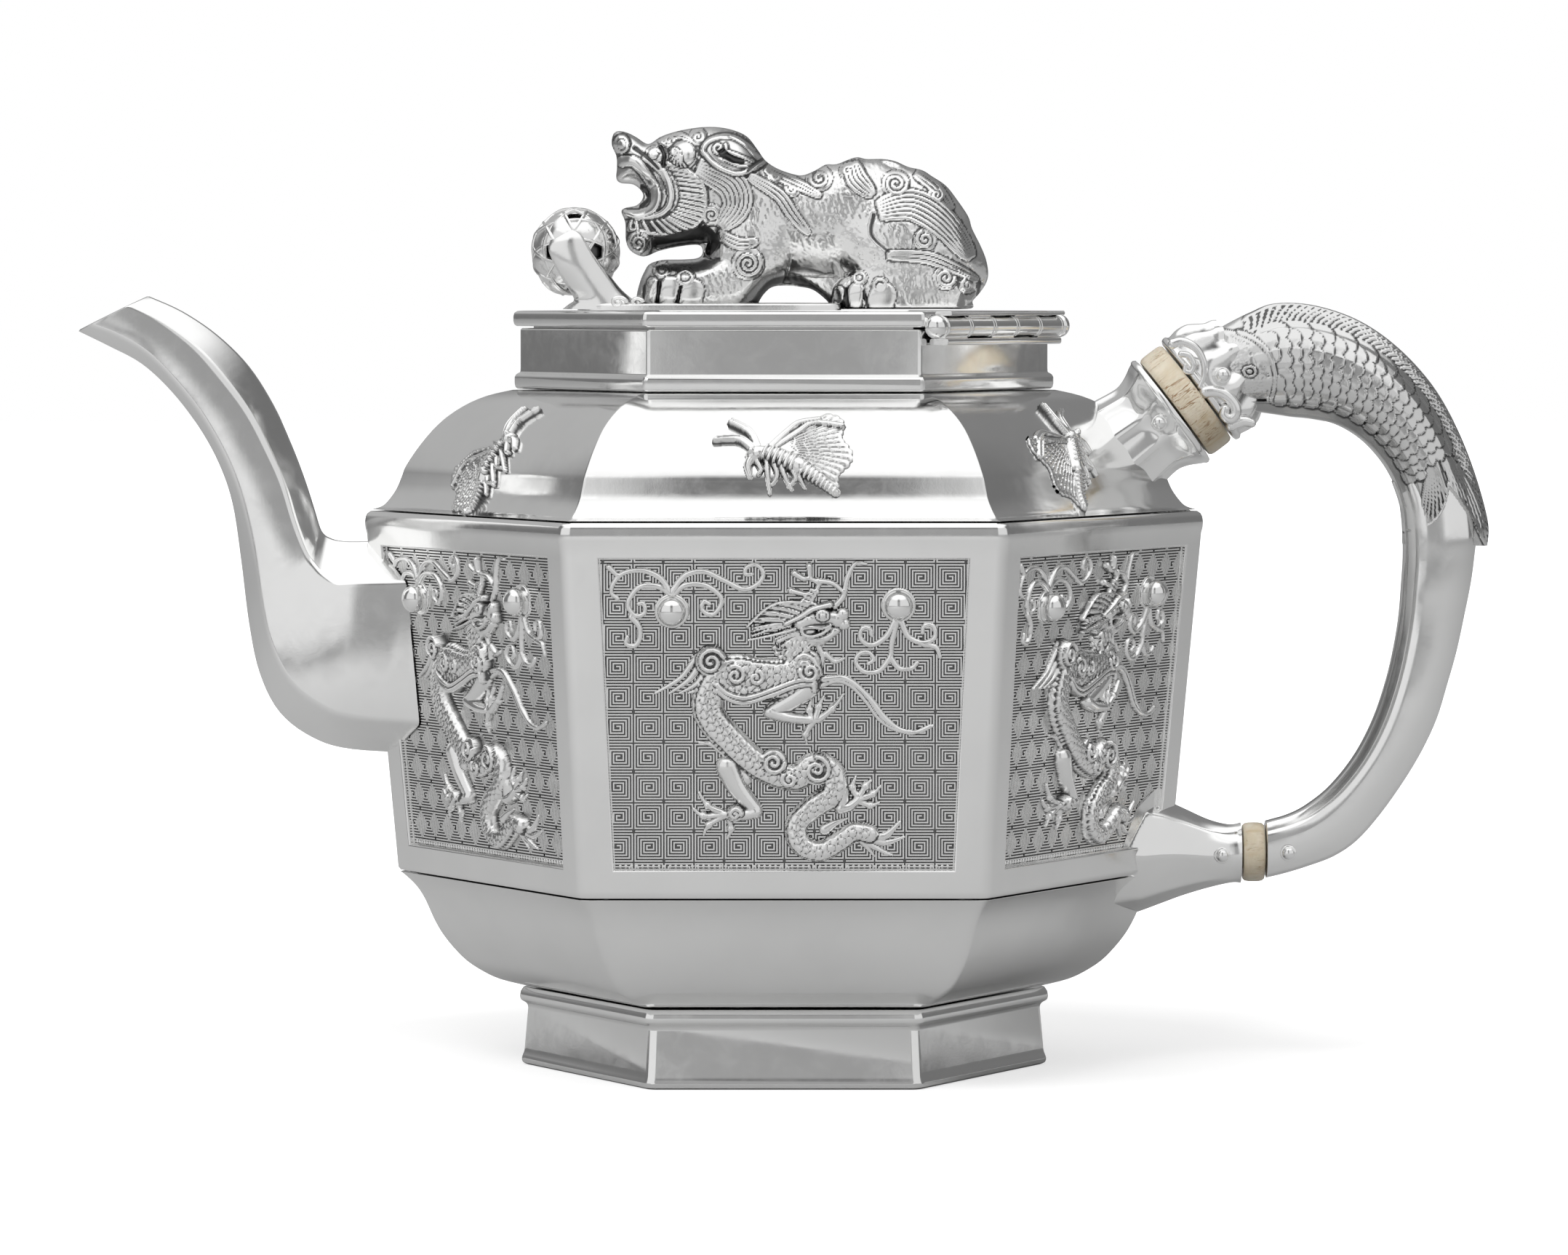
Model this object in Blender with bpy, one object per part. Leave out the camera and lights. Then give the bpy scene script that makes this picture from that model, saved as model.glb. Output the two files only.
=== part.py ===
"""A six-sided silver teapot with a hinged lid, a lion on the lid and a handle held off the pot by two rings.

Lengths are in millimetres until they reach a mesh. The origin is the middle of the foot's underside.
+X runs to the handle, -X to the spout and +Z up. The pot has corners at +X and -X and flat faces at -Y and +Y,
so a hexagon here is given by its corner radius.
"""

import math

import bmesh
import bpy
from mathutils import Matrix, Vector

MM = 0.001
GAP = 0.3
SIDES = 6
FLAT = math.cos(math.pi / SIDES)

# Heights of the stacked pot, foot to lid.
FOOT_TOP = 14.1
BOWL_FLOOR = 16.2
BOWL_TOP = 34.95
BAND_BOTTOM = 35.25
BAND_TOP = 99.9
SHOULDER_BOTTOM = 100.2
SHOULDER_TOP = 121.7
NECK_BOTTOM = 122.0
NECK_TOP = 132.8
LID_BOTTOM = 133.1
LID_TOP = 135.9
LID_SHEET = 1.2

# The panels: each sits in a shallow recess of the band.
PANEL_LOW = 39.8
PANEL_HIGH = 94.1
PANEL_WIDTH_LOW = 59.0
PANEL_WIDTH_HIGH = 63.9
RECESS_DEPTH = 1.8
PANEL_THICK = 1.0
BAND_RADIUS_LOW = 70.0
BAND_RADIUS_HIGH = 75.5
BAND_Z_LOW = 36.0
BAND_Z_HIGH = 96.0
BAND_WALL = 2.8
RECESS_CUT_ABOVE = 5
PORT_RADIUS = 8.6
PORT_Z = 75
PEARL_RADIUS = 2.45
PEARL_FLATTENING = 0.82
PEARL_PLACES = ((-19.2, 17.9), (19.6, 18.9))
PEARL_PEG = 0.95
PEARL_SEAT = 1.3

# The hinge, along the edge of the lid that looks towards +X and -Y.
HINGE_NORMAL = Vector((math.cos(math.radians(30)), -math.sin(math.radians(30)), 0))
HINGE_ALONG = Vector((math.sin(math.radians(30)), math.cos(math.radians(30)), 0))
HINGE_REACH = 43.7
HINGE_Z = 133.2
HINGE_LENGTH = 43.0
KNUCKLES = 5
KNUCKLE_RADIUS = 1.8
HINGE_BORE = 0.86
HINGE_PIN = 0.8
WEB_INSET = 0.2

# The handle's two insulating rings and the line that the upper one is threaded on.
UPPER_RING = Vector((72.2, 0, 119.8))
UPPER_SLOPE = math.radians(37)
UPPER_RING_RADIUS = 10.7
UPPER_RING_THICK = 5.0
LOWER_RING = Vector((84.65, 0, 38.4))
LOWER_RING_RADIUS = 5.3
LOWER_RING_THICK = 4.0
TENON_LENGTH = 7.0
UPPER_TENON = 3.4
LOWER_TENON = 2.6
RIVET_SHANK = 0.6
RIVET_HEAD = 1.1

FINISHES = {
    "silver": ((0.80, 0.80, 0.79), 0.12, 1.0),
    "satin_silver": ((0.70, 0.70, 0.69), 0.30, 1.0),
    "ivory": ((0.86, 0.80, 0.67), 0.40, 0.0),
}


# ---- general helpers ----


def clear_scene():
    for old in list(bpy.data.objects):
        bpy.data.objects.remove(old, do_unlink=True)


def finish_material(name):
    if name in bpy.data.materials:
        return bpy.data.materials[name]
    colour, roughness, metallic = FINISHES[name]
    material = bpy.data.materials.new(name)
    material.use_nodes = True
    shader = material.node_tree.nodes["Principled BSDF"]
    shader.inputs["Base Color"].default_value = (*colour, 1)
    shader.inputs["Roughness"].default_value = roughness
    shader.inputs["Metallic"].default_value = metallic
    return material


def add_object(name, bm, finish="silver", smooth=40):
    """One object from a bmesh in millimetres, with its faces turned outwards."""
    bmesh.ops.recalc_face_normals(bm, faces=bm.faces)
    bmesh.ops.scale(bm, vec=(MM, MM, MM), verts=bm.verts)
    mesh = bpy.data.meshes.new(name)
    bm.to_mesh(mesh)
    bm.free()
    mesh.shade_smooth()
    mesh.set_sharp_from_angle(angle=math.radians(smooth))
    mesh.materials.append(finish_material(finish))
    made = bpy.data.objects.new(name, mesh)
    bpy.context.scene.collection.objects.link(made)
    return made


def as_cutter(made):
    made.hide_render = True
    made.display_type = "WIRE"
    return made


def combine(target, other, operation="DIFFERENCE"):
    change = target.modifiers.new(other.name, "BOOLEAN")
    change.operation = operation
    change.solver = "EXACT"
    change.object = as_cutter(other)


def add_rings(bm, rings, closed=False):
    """Skin rings of equally many points; the ends are capped, or joined when closed."""
    made = [[bm.verts.new(point) for point in ring] for ring in rings]
    pairs = list(zip(made, made[1:]))
    if closed:
        pairs.append((made[-1], made[0]))
    for lower, upper in pairs:
        for index in range(len(lower)):
            after = (index + 1) % len(lower)
            bm.faces.new((lower[index], lower[after], upper[after], upper[index]))
    if not closed:
        bm.faces.new(list(reversed(made[0])))
        bm.faces.new(made[-1])


def rings_object(name, rings, finish="silver", closed=False, smooth=40):
    bm = bmesh.new()
    add_rings(bm, rings, closed)
    return add_object(name, bm, finish, smooth)


def smooth_stations(stations, steps):
    """A Catmull-Rom curve through stations, each a flat tuple of numbers."""
    padded = [stations[0], *stations, stations[-1]]
    smoothed = []
    for index in range(len(stations) - 1):
        before, start, end, after = padded[index:index + 4]
        for step in range(steps):
            t = step / steps
            smoothed.append(tuple(
                0.5 * (2 * b + (c - a) * t + (2 * a - 5 * b + 4 * c - d) * t * t
                       + (3 * b - a - 3 * c + d) * t ** 3)
                for a, b, c, d in zip(before, start, end, after)
            ))
    smoothed.append(tuple(stations[-1]))
    return smoothed


def axis_frame(origin, direction, side=Vector((0, 1, 0))):
    """A frame whose Z runs along direction and whose Y is side."""
    z_axis = Vector(direction).normalized()
    y_axis = Vector(side).normalized()
    x_axis = y_axis.cross(z_axis)
    turned = Matrix((x_axis, y_axis, z_axis)).transposed().to_4x4()
    return Matrix.Translation(origin) @ turned


def turned_object(name, frame, profile, sides, finish="silver", closed=False):
    """A profile of (radius, along) turned about the frame's Z axis; a closed profile makes a ring."""
    rings = []
    for radius, along in profile:
        ring = []
        for index in range(sides):
            angle = 2 * math.pi * index / sides
            ring.append(frame @ Vector((radius * math.cos(angle), radius * math.sin(angle), along)))
        rings.append(ring)
    return rings_object(name, rings, finish, closed)


def rod_cutter(name, frame, radius, start, end, sides=12):
    return turned_object(name, frame, [(radius, start), (radius, end)], sides)


def box_object(name, frame, low, high, finish="silver"):
    corners = [(low[0], low[1]), (high[0], low[1]), (high[0], high[1]), (low[0], high[1])]
    rings = [[frame @ Vector((x, y, z)) for x, y in corners] for z in (low[2], high[2])]
    return rings_object(name, rings, finish)


# ---- the six-sided pot ----


def hexagon(radius, z):
    return [
        Vector((radius * math.cos(math.tau * i / SIDES), radius * math.sin(math.tau * i / SIDES), z))
        for i in range(SIDES)
    ]


def hex_object(name, profile, finish="silver", closed=False):
    return rings_object(name, [hexagon(radius, z) for radius, z in profile], finish, closed, smooth=20)


def offset_profile(profile, distance):
    """Move an outer profile, foot to top, outwards along its own normals."""
    moved = []
    for index, (radius, z) in enumerate(profile):
        before = profile[max(index - 1, 0)]
        after = profile[min(index + 1, len(profile) - 1)]
        along = Vector(((after[0] - before[0]) * FLAT, after[1] - before[1])).normalized()
        moved.append((radius + along.y * distance / FLAT, z - along.x * distance))
    return moved


FOOT_OUTSIDE = [
    (47.0, 0), (47.7, 0.6), (47.7, 1.7), (46.9, 2.35), (47.0, 10.6), (48.0, 11.6), (48.0, 13.2), (47.4, FOOT_TOP),
]
BOWL_OUTSIDE = [
    (47.6, FOOT_TOP + GAP), (51.6, 15.4), (54.6, 16.75), (57.6, 18.7), (60.0, 21.1), (62.1, 23.8),
    (63.6, 26.5), (65.1, 29.85), (66.6, 32.2), (68.4, 34.0), (69.6, BOWL_TOP),
]
BAND_OUTSIDE = [
    (69.8, BAND_BOTTOM), (BAND_RADIUS_LOW, BAND_Z_LOW), (BAND_RADIUS_HIGH, BAND_Z_HIGH), (75.7, 98.9),
    (74.9, BAND_TOP),
]
SHOULDER_OUTSIDE = [
    (74.3, SHOULDER_BOTTOM), (71.9, 101.2), (70.7, 102.6), (69.7, 104.2), (68.8, 106.4), (68.1, 108.1),
    (65.5, 111.9), (62.1, 115.7), (57.9, 118.7), (53.6, 120.6), (48.9, SHOULDER_TOP),
]
NECK_OUTSIDE = [(48.2, NECK_BOTTOM), (48.55, 122.8), (48.5, 124.2), (47.5, 125.0), (47.5, NECK_TOP)]


def build_foot_ring():
    inside = [(45.6, FOOT_TOP), (45.6, 0)]
    hex_object("foot_ring", FOOT_OUTSIDE + inside, closed=True)


def build_bowl():
    inside = [
        (67.9, BOWL_TOP), (64.7, 32.6), (63.2, 29.9), (61.7, 26.9), (60.0, 24.5),
        (57.9, 22.1), (55.5, 20.0), (52.6, 18.2), (49.3, 17.0), (45.6, BOWL_FLOOR),
    ]
    hex_object("bowl", BOWL_OUTSIDE + inside)


def band_apothem(z):
    share = (z - BAND_Z_LOW) / (BAND_Z_HIGH - BAND_Z_LOW)
    return FLAT * (BAND_RADIUS_LOW + share * (BAND_RADIUS_HIGH - BAND_RADIUS_LOW))


def face_angle(face):
    """Face 0 looks along -Y; the others follow anticlockwise seen from above."""
    return math.radians(-90 + 60 * face)


def panel_frame(face):
    """X across the face to the right seen from outside, Y up the slope, Z out of the face."""
    middle = (PANEL_LOW + PANEL_HIGH) / 2
    lean = math.atan2(band_apothem(PANEL_HIGH) - band_apothem(PANEL_LOW), PANEL_HIGH - PANEL_LOW)
    angle = face_angle(face)
    outwards = Vector((math.cos(angle), math.sin(angle), 0))
    across = Vector((0, 0, 1)).cross(outwards)
    normal = outwards * math.cos(lean) - Vector((0, 0, math.sin(lean)))
    up = normal.cross(across)
    turned = Matrix((across, up, normal)).transposed().to_4x4()
    return Matrix.Translation(outwards * band_apothem(middle) + Vector((0, 0, middle))) @ turned


def panel_outline(inset):
    """The panel's four corners in its own frame, drawn in from the recess by inset."""
    lean = math.atan2(band_apothem(PANEL_HIGH) - band_apothem(PANEL_LOW), PANEL_HIGH - PANEL_LOW)
    half_height = (PANEL_HIGH - PANEL_LOW) / 2 / math.cos(lean) - inset
    low = PANEL_WIDTH_LOW / 2 - inset
    high = PANEL_WIDTH_HIGH / 2 - inset
    return [(-low, -half_height), (low, -half_height), (high, half_height), (-high, half_height)]


def panel_block(name, face, inset, bottom, top, finish="silver"):
    frame = panel_frame(face)
    rings = [[frame @ Vector((x, y, depth)) for x, y in panel_outline(inset)] for depth in (bottom, top)]
    return rings_object(name, rings, finish)


def build_panel_band():
    inner_low = (band_apothem(BAND_Z_LOW) - BAND_WALL) / FLAT
    inner_high = (band_apothem(BAND_Z_HIGH) - BAND_WALL) / FLAT
    inside = [(71.9, BAND_TOP), (inner_high, BAND_Z_HIGH), (inner_low, BAND_Z_LOW), (inner_low - 0.1, BAND_BOTTOM)]
    band = hex_object("panel_band", BAND_OUTSIDE + inside, closed=True)
    for face in range(SIDES):
        combine(band, panel_block(f"recess_cutter_{face}", face, 0, -RECESS_DEPTH, RECESS_CUT_ABOVE))
    towards_spout = axis_frame(Vector((0, 0, PORT_Z)), (-1, 0, 0))
    combine(band, rod_cutter("spout_port_cutter", towards_spout, PORT_RADIUS, 55, 90))


def build_panels():
    bottom = GAP - RECESS_DEPTH
    top = bottom + PANEL_THICK
    for face in range(SIDES):
        panel = panel_block(f"panel_{face + 1}", face, GAP, bottom, top, "satin_silver")
        for side, (across, up) in zip("ab", PEARL_PLACES):
            frame = panel_frame(face) @ Matrix.Translation((across, up, 0))
            combine(panel, rod_cutter(f"pearl_seat_{face}_{side}", frame, PEARL_SEAT, bottom + 0.4, top + 1))
            build_pearl(f"pearl_{face + 1}_{side}", frame, top)


def build_pearl(name, frame, panel_top):
    """A bead on a short peg that drops into its seat in the panel."""
    base = panel_top + GAP
    middle = base + 0.5
    profile = [(PEARL_PEG, panel_top - 0.3), (PEARL_PEG, base)]
    for lift in (-12, 12, 38, 62, 82):
        angle = math.radians(lift)
        height = PEARL_FLATTENING * PEARL_RADIUS * math.sin(angle)
        profile.append((PEARL_RADIUS * math.cos(angle), middle + height))
    turned_object(name, frame, profile, 12)


def build_shoulder():
    inside = [
        (45.8, SHOULDER_TOP), (45.8, 120.5), (53.1, 119.2), (57.2, 117.4), (61.1, 114.7), (64.3, 111.2),
        (66.8, 107.5), (67.6, 105.9), (68.4, 103.9), (69.3, 102.2), (70.2, 101.0), (71.5, SHOULDER_BOTTOM),
    ]
    hex_object("shoulder", SHOULDER_OUTSIDE + inside, closed=True)


def build_neck_collar():
    inside = [(45.7, NECK_TOP), (45.7, NECK_BOTTOM)]
    hex_object("neck_collar", NECK_OUTSIDE + inside, closed=True)


def pot_clearance(name, bottom, top):
    """A solid a gap larger than the pot's outside, for trimming what is soldered to it."""
    profile = [point for point in BOWL_OUTSIDE + BAND_OUTSIDE + SHOULDER_OUTSIDE if bottom <= point[1] <= top]
    moved = offset_profile(profile, GAP + 0.05)
    first = (moved[0][0], moved[0][1] - 6)
    last = (moved[-1][0] - 4, moved[-1][1] + 1)
    return hex_object(name, [first, *moved, last])


# ---- reliefs on the shoulder ----

# One casting, seen from outside: antennae at the left, wings at the top, legs and abdomen below.
MOTH_OUTLINE = [
    (-8.1, 3.9), (-6.6, 5.2), (-5.4, 0.6), (-4.3, 1.2), (-3.6, 5.0), (-2.2, 1.8), (-1.2, 2.2), (-0.6, 5.0),
    (1.0, 1.8), (1.9, 2.6), (6.6, 0.6), (7.0, 2.0), (5.6, 4.8), (8.6, 6.7), (8.0, 9.5), (8.0, 13.0),
    (7.5, 15.8), (4.4, 16.4), (0.5, 15.2), (-2.8, 12.0), (-5.5, 9.3), (-6.9, 9.8), (-10.4, 15.2),
    (-11.6, 15.2), (-9.8, 12.4), (-8.2, 9.9), (-11.5, 11.7), (-14.0, 11.3), (-13.9, 10.5), (-11.5, 10.6),
    (-8.9, 8.6), (-8.9, 6.2),
]
MOTH_MIDDLE = (-2.7, 8.3)
# For each face: 1, or -1 for the mirror-image casting; the turn in degrees; the shift across and up the facet.
MOTH_PLACES = (
    (1, 0, -0.5, 0), (-1, 34, 0.8, 0), (-1, 57, -1.8, -2.4),
    (1, 0, -0.5, 0), (-1, 34, 0.8, 0), (-1, 57, -1.8, -2.4),
)
MOTH_THICK = 0.9
MOTH_REACH = 9


def moth_frame(face):
    """X across the facet to the right seen from outside, Y up its slope, Z out of the casting's middle."""
    _, turn, shift_across, shift_up = MOTH_PLACES[face]
    low, high = Vector((68.8 * FLAT, 106.4)), Vector((57.9 * FLAT, 118.7))
    slope = (high - low).normalized()
    angle = face_angle(face)
    outwards = Vector((math.cos(angle), math.sin(angle), 0))
    across = Vector((0, 0, 1)).cross(outwards)
    up = outwards * slope.x + Vector((0, 0, slope.y))
    normal = across.cross(up)
    turned = Matrix((across, up, normal)).transposed().to_4x4()
    middle = (low + high) / 2
    origin = outwards * middle.x + Vector((0, 0, middle.y)) + across * shift_across + up * shift_up
    return Matrix.Translation(origin) @ turned @ Matrix.Rotation(math.radians(turn), 4, "Z")


def build_moth(face, skin):
    """A thin casting bedded on the facet: the outline's prism, kept where it meets a skin over the shoulder."""
    frame = moth_frame(face)
    flip = MOTH_PLACES[face][0]
    middle = Vector((*MOTH_MIDDLE, 0))
    rings = []
    for depth in (-MOTH_REACH, MOTH_REACH):
        flat = [Vector((x, y, depth)) - middle for x, y in MOTH_OUTLINE]
        rings.append([frame @ Vector((point.x * flip, point.y, point.z)) for point in flat])
    moth = rings_object(f"moth_{face + 1}", rings, "satin_silver")
    combine(moth, skin, "INTERSECT")


def moth_skin():
    bed = [point for point in SHOULDER_OUTSIDE if 102 < point[1] < 121]
    near = offset_profile(bed, GAP + 0.1)
    far = offset_profile(bed, GAP + 0.1 + MOTH_THICK)
    return hex_object("moth_skin", near + list(reversed(far)), closed=True)


# ---- spout ----

# Each station: the underside ridge, the lower and upper edges of the flat sides, the top ridge
# (each an x, z pair), and half the width between the flat sides.
SPOUT_STATIONS = [
    (-64.0, 56.0, -62.0, 62.0, -62.0, 87.6, -66.0, 95.0, 10.8),
    (-77.8, 56.7, -77.0, 63.1, -76.0, 87.4, -77.0, 94.7, 10.8),
    (-85.0, 58.8, -83.4, 65.4, -79.8, 87.2, -80.2, 94.9, 10.3),
    (-91.0, 63.4, -88.3, 69.4, -82.0, 88.4, -81.8, 95.4, 9.7),
    (-94.6, 70.5, -91.6, 75.6, -83.6, 90.0, -82.7, 96.0, 9.1),
    (-96.5, 79.5, -93.4, 83.0, -85.2, 92.4, -83.4, 97.2, 8.4),
    (-97.9, 91.0, -94.9, 92.5, -87.2, 97.6, -84.4, 100.6, 7.7),
    (-99.4, 101.2, -97.2, 102.0, -89.4, 104.8, -86.1, 105.9, 7.0),
    (-101.8, 108.4, -100.0, 109.2, -92.0, 110.6, -88.3, 111.8, 6.4),
    (-105.4, 115.0, -104.2, 116.6, -95.6, 117.4, -91.5, 119.0, 5.8),
    (-110.2, 121.3, -109.2, 123.0, -100.0, 123.3, -95.9, 126.0, 5.4),
    (-115.6, 126.3, -114.4, 128.2, -105.4, 129.4, -101.5, 131.6, 5.0),
    (-121.6, 129.5, -120.2, 131.6, -111.8, 134.2, -107.8, 135.9, 4.8),
    (-127.0, 132.1, -124.6, 133.2, -117.1, 136.9, -113.8, 138.6, 4.6),
]
SPOUT_WALL = 1.1
# A wall's thickness along the line to the section's middle, as a share of its thickness across.
SPOUT_WALL_SLANT = 1.25


def spout_section(station, wall):
    """Four points of one half: the underside ridge, the two edges of its flat side and the top ridge."""
    xs, zs, half = station[0:8:2], station[1:8:2], station[8]
    middle = Vector((sum(xs) / 4, 0, sum(zs) / 4))
    drawn = []
    for x, z in zip(xs, zs):
        point = Vector((x, 0, z))
        drawn.append(point + (middle - point).normalized() * wall * SPOUT_WALL_SLANT)
    under, low, high, top = drawn
    seam = Vector((0, GAP / 2, 0))
    side = Vector((0, half - wall, 0))
    return [under + seam, low + side, high + side, top + seam]


def build_spout_half(name, side, trim):
    """The spout is two castings that meet along its ridges; side is 1 at the back and -1 in front."""
    rings = []
    for station in SPOUT_STATIONS:
        outline = spout_section(station, 0) + list(reversed(spout_section(station, SPOUT_WALL)))
        rings.append([Vector((point.x, point.y * side, point.z)) for point in outline])
    half = rings_object(name, rings, smooth=20)
    combine(half, trim)


def build_spout():
    trim = pot_clearance("spout_trim_cutter", 25, BAND_TOP)
    build_spout_half("spout_front_half", -1, trim)
    build_spout_half("spout_back_half", 1, trim)


STRAINER_LOW = 61.0
STRAINER_HIGH = 89.0
STRAINER_REACH = 13.0
STRAINER_SHEET = 0.8
STRAINER_HOLE = 1.1
STRAINER_PITCH = (3.4, 4.0)
STRAINER_ROWS = 5


def build_strainer():
    """A pierced plate bent over the inside of the pot's corner, behind the spout's port."""
    slant = STRAINER_REACH * math.tan(math.radians(30))
    rings = []
    for z in (STRAINER_LOW, STRAINER_HIGH):
        inner = band_apothem(z) - BAND_WALL
        corner_out = (inner - GAP) / FLAT
        corner_in = (inner - GAP - STRAINER_SHEET) / FLAT
        plan = [
            (slant - corner_out, STRAINER_REACH), (-corner_out, 0), (slant - corner_out, -STRAINER_REACH),
            (slant - corner_in, -STRAINER_REACH), (-corner_in, 0), (slant - corner_in, STRAINER_REACH),
        ]
        rings.append([Vector((x, y, z)) for x, y in plan])
    strainer = rings_object("spout_strainer", rings)
    combine(strainer, add_object("strainer_hole_cutter", strainer_holes()))


def strainer_holes():
    holes = bmesh.new()
    middle = (STRAINER_ROWS - 1) / 2
    for row in range(STRAINER_ROWS):
        for column in range(STRAINER_ROWS):
            y = (column - middle) * STRAINER_PITCH[0]
            z = PORT_Z + (row - middle) * STRAINER_PITCH[1]
            corners = [(math.cos(math.tau * i / 6), math.sin(math.tau * i / 6)) for i in range(6)]
            add_rings(holes, [[
                Vector((x, y + STRAINER_HOLE * across, z + STRAINER_HOLE * up)) for across, up in corners
            ] for x in (-80, -50)])
    return holes


# ---- handle ----


def upper_frame():
    direction = Vector((math.cos(UPPER_SLOPE), 0, math.sin(UPPER_SLOPE)))
    return axis_frame(UPPER_RING, direction)


def lower_frame():
    return axis_frame(LOWER_RING, (1, 0, 0))


def fluted_object(name, frame, profile, flute, finish="silver"):
    """A six-ribbed trumpet: ribs at the profile's radius and flutes drawn in between them."""
    rings = []
    for radius, along in profile:
        ring = []
        for index in range(12):
            angle = math.tau * index / 12
            reach = radius * (1 if index % 2 == 0 else flute)
            ring.append(frame @ Vector((reach * math.cos(angle), reach * math.sin(angle), along)))
        rings.append(ring)
    return rings_object(name, rings, finish)


def build_insulator(name, frame, radius, thick, tenon):
    """A ring with a slightly crowned rim and a tenon on each side."""
    half = thick / 2
    profile = [
        (tenon, -half - TENON_LENGTH), (tenon, -half), (radius - 0.5, -half), (radius, -half + 0.8),
        (radius, half - 0.8), (radius - 0.5, half), (tenon, half), (tenon, half + TENON_LENGTH),
    ]
    return turned_object(name, frame, profile, 24, "ivory")


def bore_for_tenon(piece, name, frame, tenon, thick, side):
    start = side * (thick / 2 - 1)
    end = side * (thick / 2 + TENON_LENGTH + GAP)
    combine(piece, rod_cutter(name, frame, tenon + GAP + 0.1, min(start, end), max(start, end), 16))


def build_rivet(name, place, half_length, *pieces):
    """A rivet across the handle, with its hole cut through each piece that it holds."""
    frame = axis_frame(Vector((place[0], 0, place[1])), (0, 1, 0), side=(1, 0, 0))
    dome = [(RIVET_SHANK, 0), (RIVET_HEAD, 0), (0.95, 0.5), (0.45, 0.9)]
    profile = [(radius, -half_length - lift) for radius, lift in reversed(dome)]
    profile += [(radius, half_length + lift) for radius, lift in dome]
    turned_object(name, frame, profile, 12)
    for piece in pieces:
        hole = rod_cutter(f"{name}_hole_in_{piece.name}", frame, RIVET_SHANK + GAP, -30, 30, 8)
        combine(piece, hole)


COLLAR_LENGTH = 7.6
COLLAR_FLATTENING = 0.86
COLLAR_SIDES = 16
SOCKET_FLUTE = 0.84


def build_upper_socket(frame):
    """A fluted trumpet from the ring back to the pot's corner, which trims it."""
    start = -UPPER_RING_THICK / 2 - GAP
    profile = [
        (11.8, start - 20.0), (10.0, start - 10.4), (9.3, start - 6.0), (9.5, start - 4.3),
        (10.0, start - 2.9), (10.7, start - 1.4), (11.0, start),
    ]
    socket = fluted_object("upper_socket", frame, profile, SOCKET_FLUTE)
    bore_for_tenon(socket, "upper_socket_bore", frame, UPPER_TENON, UPPER_RING_THICK, -1)
    combine(socket, pot_clearance("upper_socket_trim", 95, 125))
    return socket


def build_handle_collar(frame):
    """The scrolled cap after the upper ring: broad at the ring, waisted where the grip begins."""
    start = UPPER_RING_THICK / 2 + GAP
    profile = [
        (10.6, start), (11.0, start + 2.0), (10.2, start + 4.5), (8.6, start + 6.6), (8.1, start + COLLAR_LENGTH),
    ]
    rings = []
    for radius, along in profile:
        ring = []
        for index in range(COLLAR_SIDES):
            angle = math.tau * index / COLLAR_SIDES
            across = COLLAR_FLATTENING * radius * math.sin(angle)
            ring.append(frame @ Vector((radius * math.cos(angle), across, along)))
        rings.append(ring)
    collar = rings_object("handle_collar", rings)
    bore_for_tenon(collar, "handle_collar_bore", frame, UPPER_TENON, UPPER_RING_THICK, 1)
    return collar


# Stations along the handle: the outer edge, the inner edge (each an x, z pair) and half the width.
GRIP_STATIONS = [
    (76.9, 132.0, 86.8, 118.9, 6.8),
    (82.6, 134.6, 88.8, 117.9, 7.6),
    (88.2, 137.2, 91.0, 116.9, 8.3),
    (95.1, 136.9, 94.8, 116.5, 8.7),
    (103.0, 134.3, 99.2, 115.5, 8.8),
    (110.0, 129.6, 103.2, 113.3, 8.6),
    (116.3, 122.9, 106.4, 110.3, 8.2),
    (120.8, 115.3, 108.9, 106.8, 7.6),
    (124.3, 106.7, 110.6, 102.8, 7.0),
    (126.9, 98.0, 111.4, 97.6, 6.5),
    (127.0, 95.6, 111.6, 95.9, 6.4),
]
ARM_STATIONS = [
    (124.4, 95.2, 111.6, 95.5, 6.3),
    (123.9, 88.0, 111.4, 88.0, 6.2),
    (122.4, 80.0, 110.8, 80.2, 6.1),
    (120.4, 71.5, 109.4, 73.0, 6.0),
    (117.6, 62.4, 107.3, 65.2, 5.9),
    (113.2, 53.6, 104.3, 58.2, 5.8),
    (107.6, 45.4, 100.2, 52.3, 5.6),
    (101.0, 38.7, 96.2, 48.2, 5.4),
    (94.5, 35.8, 92.3, 45.7, 5.3),
    (86.95, 33.7, 86.95, 43.9, 5.2),
]
# Across the handle: how far from the inner edge to the outer, and the share of the half width there.
GRIP_SECTION = [(0, 0.42), (0.16, 0.86), (0.45, 1.0), (0.72, 0.86), (0.88, 0.30), (1.0, 0.12)]
ARM_SECTION = [(0, 0.50), (0.16, 0.90), (0.50, 1.0), (0.82, 0.80), (1.0, 0.32)]


def handle_rings(stations, section, steps):
    rings = []
    for outer_x, outer_z, inner_x, inner_z, half in smooth_stations(stations, steps):
        inner = Vector((inner_x, 0, inner_z))
        across = Vector((outer_x, 0, outer_z)) - inner
        front = [inner + across * share + Vector((0, -half * width, 0)) for share, width in section]
        back = [inner + across * share + Vector((0, half * width, 0)) for share, width in reversed(section)]
        rings.append(front + back)
    return rings


def build_grip(frame):
    grip = rings_object("fish_grip", handle_rings(GRIP_STATIONS, GRIP_SECTION, 2), "satin_silver")
    keep_out = UPPER_RING_THICK / 2 + COLLAR_LENGTH + 2 * GAP
    combine(grip, rod_cutter("grip_end_cutter", frame, 30, keep_out - 30, keep_out))


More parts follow.
